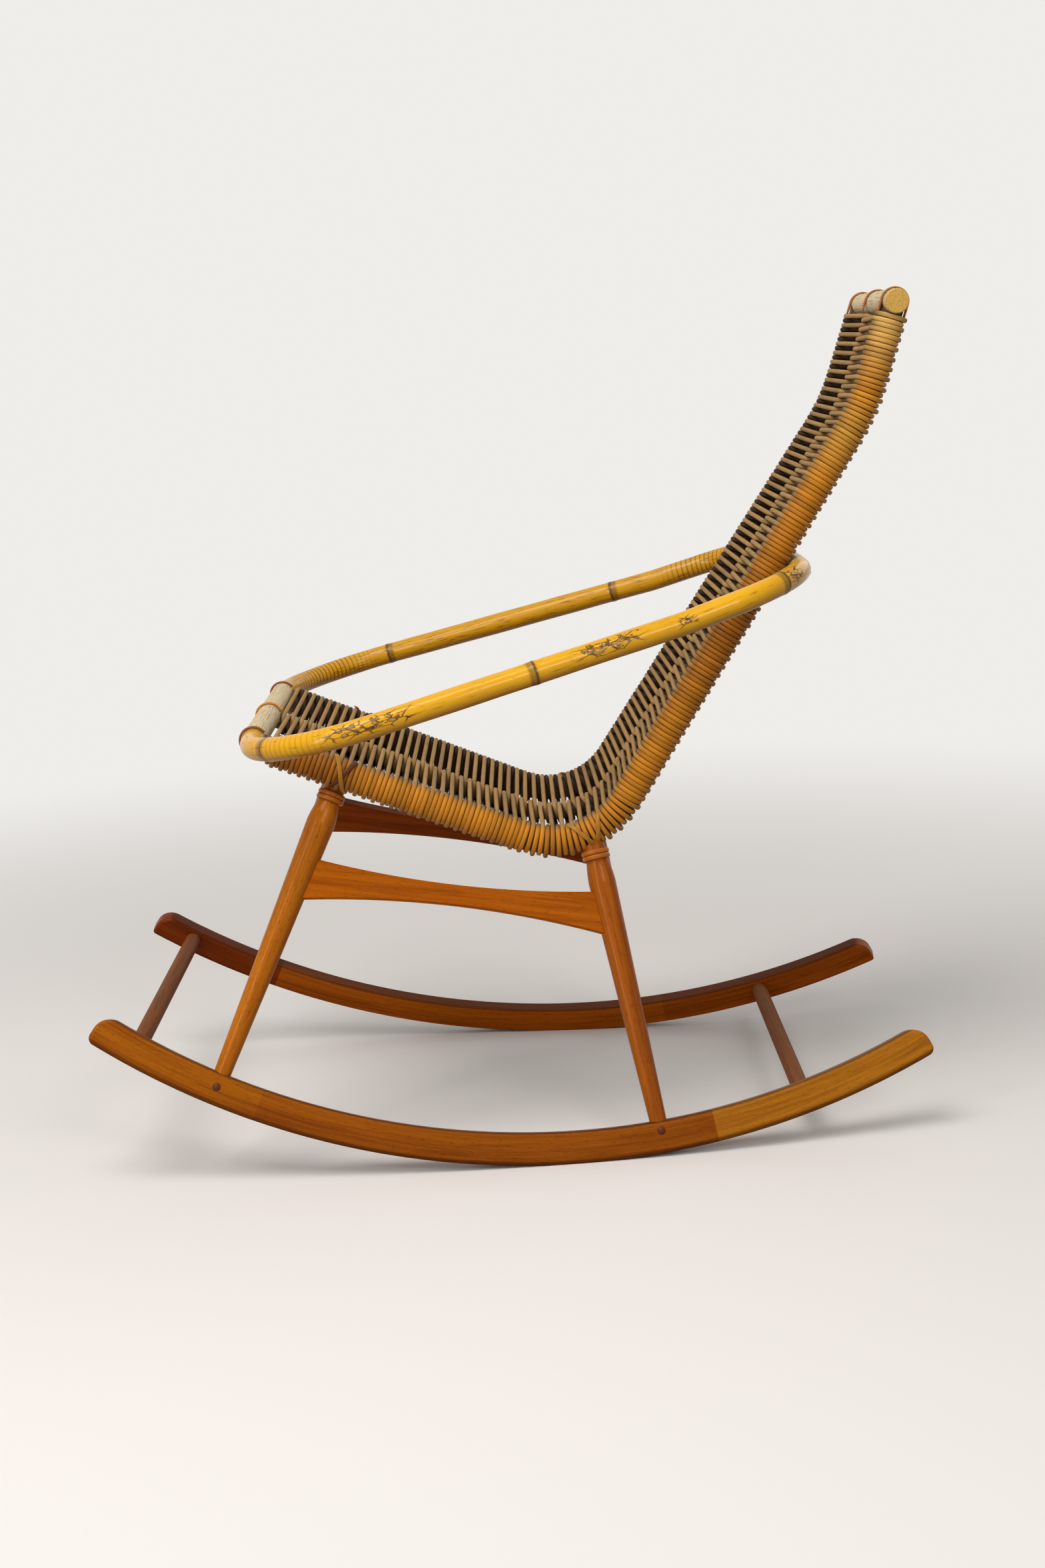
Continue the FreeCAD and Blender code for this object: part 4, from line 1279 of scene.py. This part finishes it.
@dataclass
class ArmHoop:
    """The bent pole that makes both arms, from the front rail round behind the back."""

    pose: RestPose
    layout: Layout
    radius: float = 13.0 * MM
    tilt: float = 16.6
    joint_half: float = 178.1 * MM
    front_half: float = 341 * MM
    front_drop: float = 4.6 * MM
    kick: float = 140 * MM
    kick_drop: float = 3.4 * MM
    rear_half: float = 214 * MM
    rear_rise: float = 6.5 * MM
    bend_radii: tuple[float, float, float] = (122 * MM, 250 * MM, 110 * MM)
    clearance: float = 0.5 * MM
    sides: int = 30
    step: float = 1.5 * MM
    rings_left: tuple[float, ...] = (97 * MM, 406 * MM, 700 * MM)
    rings_right: tuple[float, ...] = (216 * MM, 522 * MM, 830 * MM)
    # A node is a dark ring with a paler scar before it, on a low swelling.
    ring_half: float = 2.0 * MM
    ring_most: float = 0.92
    scar_before: float = 5 * MM
    scar_half: float = 3.0 * MM
    scar_strength: float = 0.6
    swell_half: float = 3.5 * MM
    swell: float = 0.5 * MM
    room_to_swell: float = 0.3 * MM
    flakes: tuple[Flake, ...] = (
        Flake(226 * MM, 18, 56 * MM, 46, 0.52),
        Flake(490 * MM, 24, 44 * MM, 44, 0.54),
        Flake(578 * MM, 10, 13 * MM, 40, 0.44),
        Flake(715 * MM, 20, 16 * MM, 60, 0.5),
    )
    # The bends at the front are wrinkled, the near one less, and the far rear bend as well.
    front_wrinkles: tuple[float, float] = (112 * MM, 70 * MM)
    near_wrinkles: float = 0.35
    rear_wrinkles: tuple[float, float] = (640 * MM, 45 * MM)
    rear_wrinkled: float = 0.85
    # The near rear bend is rubbed pale.
    rubbed: tuple[float, float] = (755 * MM, 50 * MM)
    rubbed_strength: float = 0.5

    def line(self) -> BentLine:
        """The hoop's centre line.

        Returns:
            The line from the left end at the front rail round to the right end.
        """
        slope = math.radians(self.tilt)
        rise = np.array([math.cos(slope), math.sin(slope)])
        below = np.array([math.sin(slope), -math.cos(slope)])
        front = np.array(self.layout.front_rail)
        lap, head = np.array(self.layout.lap_corner), np.array(self.layout.head_corner)
        back = (head - lap) / np.linalg.norm(head - lap)
        behind = np.array([back[1], -back[0]])
        offset = self.layout.wrap_outer + self.radius + self.clearance
        reach = (offset - (front - lap) @ behind) / (rise @ behind)
        kick_half = self.rear_half + self.kick * (self.front_half - self.rear_half) / reach
        elbow = front + below * self.front_drop
        kick = front + rise * (reach - self.kick) + below * self.kick_drop
        rear = front + rise * reach + back * self.rear_rise
        left = [(self.joint_half, *front), (self.front_half, *elbow), (kick_half, *kick),
                (self.rear_half, *rear)]
        right = [(-x, y, z) for x, y, z in reversed(left)]
        return BentLine(left + right, self.bend_radii + self.bend_radii[::-1])

    def build(self) -> None:
        """Sweep the pole, its nodes, flakes and wrinkles marked, in place of the plain hoop."""
        line = self.line()
        count = int(line.length / self.step) + 1
        run = np.linspace(0, line.length, count)
        slope = math.radians(self.tilt)
        up = np.array([0.0, -math.sin(slope), math.cos(slope)])
        outward = unit(np.cross(line.heading(run), up))
        around = np.linspace(0, 2 * math.pi, self.sides, endpoint=False)
        from_right = line.length - run
        ring, swell = np.zeros(count), np.zeros(count)
        for at in [*self.rings_left, *[line.length - far for far in self.rings_right]]:
            ring += bell(run, at, self.ring_half)
            ring += self.scar_strength * bell(run, at - self.scar_before, self.scar_half)
            swell += bell(run, at, self.swell_half, power=2)
        # A pole is never quite even: two slow waves of about a tenth of a millimetre.
        slow = (np.sin(run * 23) * 0.12 + np.sin(run * 61 + 1) * 0.10) * MM
        radius = self.radius - self.room_to_swell + self.swell * swell + slow
        across, upright = np.cos(around), np.sin(around)
        outwards = across[None, :, None] * outward[:, None] + upright[None, :, None] * up
        rings = line.at(run)[:, None] + outwards * radius[:, None, None]
        lie = np.stack([np.broadcast_to(run[:, None], rings.shape[:2]),
                        radius[:, None] * across, radius[:, None] * upright], axis=-1)
        peel = np.zeros(rings.shape[:2])
        for flake in self.flakes:
            turn = np.angle(np.exp(1j * (around - math.radians(flake.side))))
            patch = bell(run, flake.at, flake.half_length)[:, None]
            patch = patch * bell(turn, 0.0, math.radians(flake.half_width))
            peel = np.maximum(peel, flake.strength * patch)
        wrinkle = bell(np.minimum(run, from_right), *self.front_wrinkles)
        wrinkle[run < line.length / 2] *= self.near_wrinkles
        rear_bend = self.rear_wrinkled * bell(from_right, *self.rear_wrinkles)
        marks = {
            "lie": lie,
            "ring": np.clip(ring, 0, self.ring_most),
            "peel": peel,
            "wrinkle": np.maximum(wrinkle, rear_bend),
            "worn": self.rubbed_strength * bell(run, *self.rubbed),
            "far": smooth_step((run - 0.5 * line.length) / (0.2 * line.length) + 0.2),
        }
        piece = swept("bent_arm_hoop", self.pose.place(rings), marks)
        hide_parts("arm_hoop")
        dress(piece, YellowCane().material())
        LOG.info("%s: %.3f m of pole", piece.name, line.length)


@dataclass
class RailsAndPoles:
    """The front and top rails, the three bent poles inside the weave, and the nails."""

    top_rail_half: float = 129 * MM
    end_round: float = 1.5 * MM

    def dress(self) -> None:
        """Give the poles and nails their finishes."""
        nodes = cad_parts
        dress(nodes["front_rail"], PeeledPole("peeled_rattan_front_rail").material())
        top = PeeledPole("peeled_rattan_top_rail", end_at=self.top_rail_half - self.end_round)
        dress(nodes["top_rail"], top.material())
        # Painted shade: the pale peeled rattan of the poles inside the weave is darkened to
        # brown-black.
        shaded_inner_pole = PeeledPole("peeled_rattan_inner_pole", pale="#4A3018", brown="#2C1A0A").material()
        for name in ("left_side_pole", "right_side_pole", "middle_pole"):
            dress(nodes[name], shaded_inner_pole)
        dress(nodes["hoop_nails"], BrightNail().material())
        LOG.info("rails, inner poles and nails dressed")


@dataclass(frozen=True)
class Strip:
    """One strip of cane: half its width, half its thickness, and its finish."""

    half_width: float
    half_thickness: float
    material: bpy.types.Material
    squareness: float = 2.6
    sides: int = 12

    def build(self, name: str, node: str, path: np.ndarray, outward: np.ndarray,
              half: Half = Half.LEFT, endless: bool = False) -> None:
        """Lay the strip along a path, in place of a lashing of the frame.

        Args:
            name: The piece's name.
            node: The lashing that it stands for.
            path: Points of its middle on the left half.
            outward: For each point, where the strip's outer face looks.
            half: The half that it lies on.
            endless: Whether the strip closes on itself.
        """
        if endless:
            ahead = unit(np.roll(path, -1, axis=0) - np.roll(path, 1, axis=0))
        else:
            ahead = unit(np.gradient(path, axis=0))
        flat = unit(np.cross(ahead, outward))
        out = np.cross(flat, ahead)
        wide, thick = section(self.sides, self.squareness, self.half_width, self.half_thickness)
        rings = path[:, None] + flat[:, None] * wide[..., None] + out[:, None] * thick[..., None]
        placed = rings * half.mirror
        piece = swept(name, placed, {}, flip=half is Half.RIGHT, endless=endless)
        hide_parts(node)
        dress(piece, self.material)
        LOG.info("%s laid", name)


@dataclass
class Lashings:
    """Cane that ties the poles to the rails and the legs to the poles."""

    pose: RestPose
    layout: Layout
    frames: SideFrames
    neck_radius: float = 12.2 * MM
    rail_radius: float = 13.7 * MM
    neck_clearance: float = 3.2 * MM
    band_width: float = 5.6 * MM
    front_half: float = 178 * MM
    top_offset: float = 6 * MM
    # Angles in degrees: round the pole, up from its outer side, to where a leg's strips cross,
    # their slant along the pole, and how far a loop stays open on each side of its pole.
    front_crossing: float = -5.0
    rear_crossing: float = -50.0
    slant: float = 24.0
    front_gap: float = 58.0
    middle_gap: float = 42.0
    top_gap: float = 90.0
    top_tail: float = 15 * MM
    middle_tail: float = 13 * MM
    twin: float = 1.7 * MM
    # A leg's strips start a little off its neck, or at the lowest angle that shows, in radians.
    off_neck: float = 0.12
    lowest: float = -1.5
    highest: float = 1.25
    lower_raised: float = 0.8 * MM
    upper_raised: float = 2.0 * MM

    def build(self) -> None:
        """Lay every lashing."""
        band = Strip(2.75 * MM, 1.75 * MM,
                     CaneStrip("split_cane_neck_band", "#C87416", "#8A4206").material())
        golden = Strip(2.5 * MM, 0.8 * MM,
                       CaneStrip("split_cane_golden_strip", "#BC8424", "#865410").material())
        dark = Strip(2.5 * MM, 0.7 * MM,
                     CaneStrip("split_cane_dark_strip", "#70380A", "#3E1C04").material())
        brown = Strip(2.3 * MM, 1.3 * MM,
                      CaneStrip("split_cane_front_loop", "#A45C18", "#5E2E08").material())
        bright = Strip(2.3 * MM, 1.3 * MM,
                       CaneStrip("split_cane_middle_loop", "#D88C20", "#9A560C").material())
        thin = Strip(1.55 * MM, 1.1 * MM,
                     CaneStrip("split_cane_top_loop", "#B4742A", "#7A440E").material())
        frames = self.frames
        self.tie_leg("front", self.leg_top(frames.front_foot, frames.front_rake),
                     self.front_crossing, band, golden, dark)
        self.tie_leg("rear", self.leg_top(frames.rear_foot, frames.rear_rake),
                     self.rear_crossing, band, golden, golden)
        front = (self.layout.front_rail, self.layout.lap_corner)
        top = (self.layout.top_rail, self.layout.head_corner)
        for half in Half:
            self.loop_rail(f"{half.word}_front_lashing", *front, (self.front_half,),
                           self.front_gap, 0.0, brown, half)
            at = self.layout.top_half + self.top_offset
            self.loop_rail(f"{half.word}_top_lashing", *top, (at - self.twin, at + self.twin),
                           self.top_gap, self.top_tail, thin, half)
        self.loop_rail("middle_front_lashing", *front, (0.0,), self.middle_gap, 0.0, bright)
        self.loop_rail("middle_top_lashing", *top, (-self.twin, self.twin),
                       self.top_gap, self.middle_tail, thin)

    def leg_top(self, foot: float, rake: float) -> tuple[np.ndarray, ...]:
        """Find where a left leg comes up to its pole.

        Args:
            foot: Where along the chair the leg stands on its rocker.
            rake: The leg's slope in its frame, in degrees.

        Returns:
            The point of the leg's axis nearest the pole, the axis, the pole's point and heading.
        """
        plane = np.array(self.frames.plane(Half.LEFT))
        arc = self.frames.sole_radius * math.cos(math.radians(self.frames.lean))
        mid = arc - math.sqrt((arc - self.frames.rocker_depth / 2) ** 2 - foot ** 2)
        slope = math.radians(rake)
        base = plane[:3, :3] @ np.array([0, foot, mid]) + plane[:3, 3]
        axis = plane[:3, :3] @ np.array([0, math.sin(slope), math.cos(slope)])
        line = self.layout.side_line()
        stations = np.linspace(0, line.length, 3000)
        pole = self.pose.place(line.at(stations))
        along = (pole - base) @ axis
        nearest = int(np.argmin(np.linalg.norm(pole - base - along[:, None] * axis, axis=1)))
        heading = unit(pole[nearest + 1] - pole[nearest - 1])
        return base + axis * along[nearest], axis, pole[nearest], heading

    def tie_leg(self, name: str, top: tuple[np.ndarray, ...], crossing: float,
                band: Strip, upper: Strip, lower: Strip) -> None:
        """Lay two turns round a leg's neck and two strips crossed over the pole, on both halves.

        Args:
            name: Which leg.
            top: Where the left leg meets its pole.
            crossing: The angle round the pole, in degrees, where the strips cross.
            band: The neck's cane.
            upper: The upper strip's cane.
            lower: The lower strip's cane.
        """
        meet, axis, pole, run = top
        side = unit(np.cross(axis, np.array([0.0, 1.0, 0.0])))
        turn = np.linspace(0, 2 * math.pi, 48, endpoint=False)[:, None]
        round_neck = np.cos(turn) * side + np.sin(turn) * np.cross(axis, side)
        radius = self.neck_radius + band.half_thickness
        first = self.layout.wrap_outer + self.neck_clearance + self.band_width / 2
        out = unit(ACROSS - run * run[0])
        face = np.cross(out, run)
        neck_at = math.atan2(float(-axis @ face), float(-axis @ out))
        sweep = np.linspace(max(neck_at + self.off_neck, self.lowest), self.highest, 28)
        outward = np.cos(sweep)[:, None] * out + np.sin(sweep)[:, None] * face
        drift = math.tan(math.radians(self.slant)) * (sweep - math.radians(crossing))
        for half in Half:
            node = f"{half.word}_{name}_leg_lashing"
            for index, below in enumerate((first, first + self.band_width)):
                path = meet - axis * below + round_neck * radius
                band.build(f"{half.word}_{name}_neck_band_{index + 1}", node, path, round_neck,
                           half, endless=True)
            for strip, hand, raised, word in ((lower, 1, self.lower_raised, "under"),
                                              (upper, -1, self.upper_raised, "over")):
                away = self.layout.wrap_outer + raised
                path = pole + outward * away + run * (hand * away * drift)[:, None]
                strip.build(f"{half.word}_{name}_strip_{word}", node, path, outward, half)

    def loop_rail(self, node: str, rail: tuple[float, float], pole_end: tuple[float, float],
                  places: Sequence[float], gap: float, tail: float, strip: Strip,
                  half: Half = Half.LEFT) -> None:
        """Lay turns of cane round a rail, open where the pole comes in.

        Args:
            node: The lashing that they stand for.
            rail: The rail's drawn depth and height.
            pole_end: A point that the pole runs to from the rail.
            places: Where along the rail each turn lies.
            gap: How far the turn stays open on each side of the pole, in degrees.
            tail: How far its ends run on down the pole.
            strip: The cane.
            half: The half that it lies on.
        """
        toward = np.array([0.0, pole_end[0] - rail[0], pole_end[1] - rail[1]])
        heading, shut = math.atan2(toward[2], toward[1]), math.radians(gap)
        turn = np.linspace(heading + shut, heading + 2 * math.pi - shut, 44)
        outward = np.stack([0 * turn, np.cos(turn), np.sin(turn)], axis=1)
        path = outward * (self.rail_radius + strip.half_thickness)
        if tail:
            down = unit(toward) * np.linspace(tail, 0, 6, endpoint=False)[:, None]
            path = np.concatenate([path[:1] + down, path, path[-1:] + down[::-1]])
            first, last = [np.repeat(end[None], len(down), axis=0) for end in outward[[0, -1]]]
            outward = np.concatenate([first, outward, last])
        turned = np.array(self.pose.matrix())[:3, :3]
        for index, at in enumerate(places):
            placed = self.pose.place(path + np.array([at, *rail]))
            strip.build(f"{node}_turn_{index + 1}", node, placed, outward @ turned.T, half)


@dataclass(frozen=True)
class Lamp:
    """One soft box: where it stands, its width and height, and its power in watts."""

    name: str
    place: tuple[float, float, float]
    width: float
    height: float
    power: float
    tint: str = "#FFFBF9"
    aim: tuple[float, float, float] = (0.0, 0.0, 0.45)

    def build(self) -> None:
        """Hang the lamp, turned to the chair."""
        data = bpy.data.lights.new(self.name, "AREA")
        data.shape = "RECTANGLE"
        data.size = self.width
        data.size_y = self.height
        data.energy = self.power
        data.color = linear(self.tint)[:3]
        holder = bpy.data.objects.new(self.name, data)
        holder.location = self.place
        ahead = Vector(self.aim) - Vector(self.place)
        holder.rotation_euler = ahead.to_track_quat("-Z", "Y").to_euler()
        bpy.context.scene.collection.objects.link(holder)


@dataclass
class Studio:
    """Floor, light and camera."""

    pose: RestPose
    floor_half: float = 14.0
    focal: float = 3450.0
    picture_height: float = 2352.0
    sensor: float = 36.0
    place: tuple[float, float, float] = (2.6739, -0.0483, 0.8714)
    pitch: float = 0.1831
    yaw: float = 0.0121
    room: float = 0.34
    room_tint: str = "#FBFAF8"
    lamps: tuple[Lamp, ...] = (
        Lamp("key_light", (1.3, -0.9, 3.1), 1.9, 1.9, 74.0),
        Lamp("strip_light", (2.1, -1.7, 1.0), 0.35, 2.0, 17.0),
        Lamp("front_light", (2.7, 1.0, 1.9), 0.8, 0.8, 15.0),
        Lamp("back_light", (-2.2, 2.0, 2.0), 2.0, 2.0, 12.0),
    )

    def build(self) -> None:
        """Lay the floor, set the lights and stand the camera."""
        self.lay_floor()
        self.light()
        self.stand_camera()

    def lay_floor(self) -> None:
        """Lay a plain pale floor."""
        mesh = bpy.data.meshes.new("studio_floor")
        far = self.floor_half
        corners = [(-far, -far, 0), (far, -far, 0), (far, far, 0), (-far, far, 0)]
        mesh.from_pydata(corners, [], [(0, 1, 2, 3)])
        floor = bpy.data.objects.new("studio_floor", mesh)
        bpy.context.scene.collection.objects.link(floor)
        dress(floor, StudioPaper().material())

    def light(self) -> None:
        """Set a plain room, a backdrop that is only seen, and the lamps."""
        world = bpy.data.worlds.new("studio_room")
        bpy.context.scene.world = world
        world.use_nodes = True
        tree = world.node_tree
        tree.nodes.clear()
        room = add_node(tree, "Background", None, {
            "Color": linear(self.room_tint), "Strength": self.room,
        })
        backdrop = add_node(tree, "Background", None, {
            "Color": linear(StudioPaper().backdrop), "Strength": 1.0,
        })
        mixed = add_node(tree, "MixShader", None, {
            0: camera_sees(tree), 1: room.outputs[0], 2: backdrop.outputs[0],
        })
        add_node(tree, "OutputWorld", None, {"Surface": mixed.outputs[0]})
        for lamp in self.lamps:
            lamp.build()

    def stand_camera(self) -> None:
        """Stand the camera where the photograph was taken from, tipped with the resting chair."""
        level, turn = math.cos(self.pitch), self.yaw
        ahead = Vector((-level * math.cos(turn), level * math.sin(turn), -math.sin(self.pitch)))
        right = Vector((math.sin(turn), math.cos(turn), 0))
        axes = Matrix((right, right.cross(ahead), -ahead)).transposed().to_4x4()
        data = bpy.data.cameras.new("photograph_view")
        data.sensor_width = self.sensor
        data.lens = self.focal * self.sensor / self.picture_height
        camera = bpy.data.objects.new("photograph_view", data)
        camera.matrix_world = self.pose.matrix() @ Matrix.Translation(self.place) @ axes
        bpy.context.scene.collection.objects.link(camera)
        bpy.context.scene.camera = camera
        bpy.context.scene.view_settings.view_transform = "Standard"


def main() -> None:
    """Build and dress the chair, piece by piece, then set the studio."""
    logging.basicConfig(level=logging.INFO, format="%(name)s: %(message)s")
    layout = Layout()
    pose = RestPose.from_rails(layout.front_rail, layout.top_rail)
    LOG.info("rests %.2f degrees back", -math.degrees(pose.turn))
    Studio(pose).build()
    frames = SideFrames(pose)
    frames.dress()
    WovenSeat(pose, layout).build()
    ArmHoop(pose, layout).build()
    RailsAndPoles().dress()
    Lashings(pose, layout, frames).build()


if __name__ == "__main__":
    main()
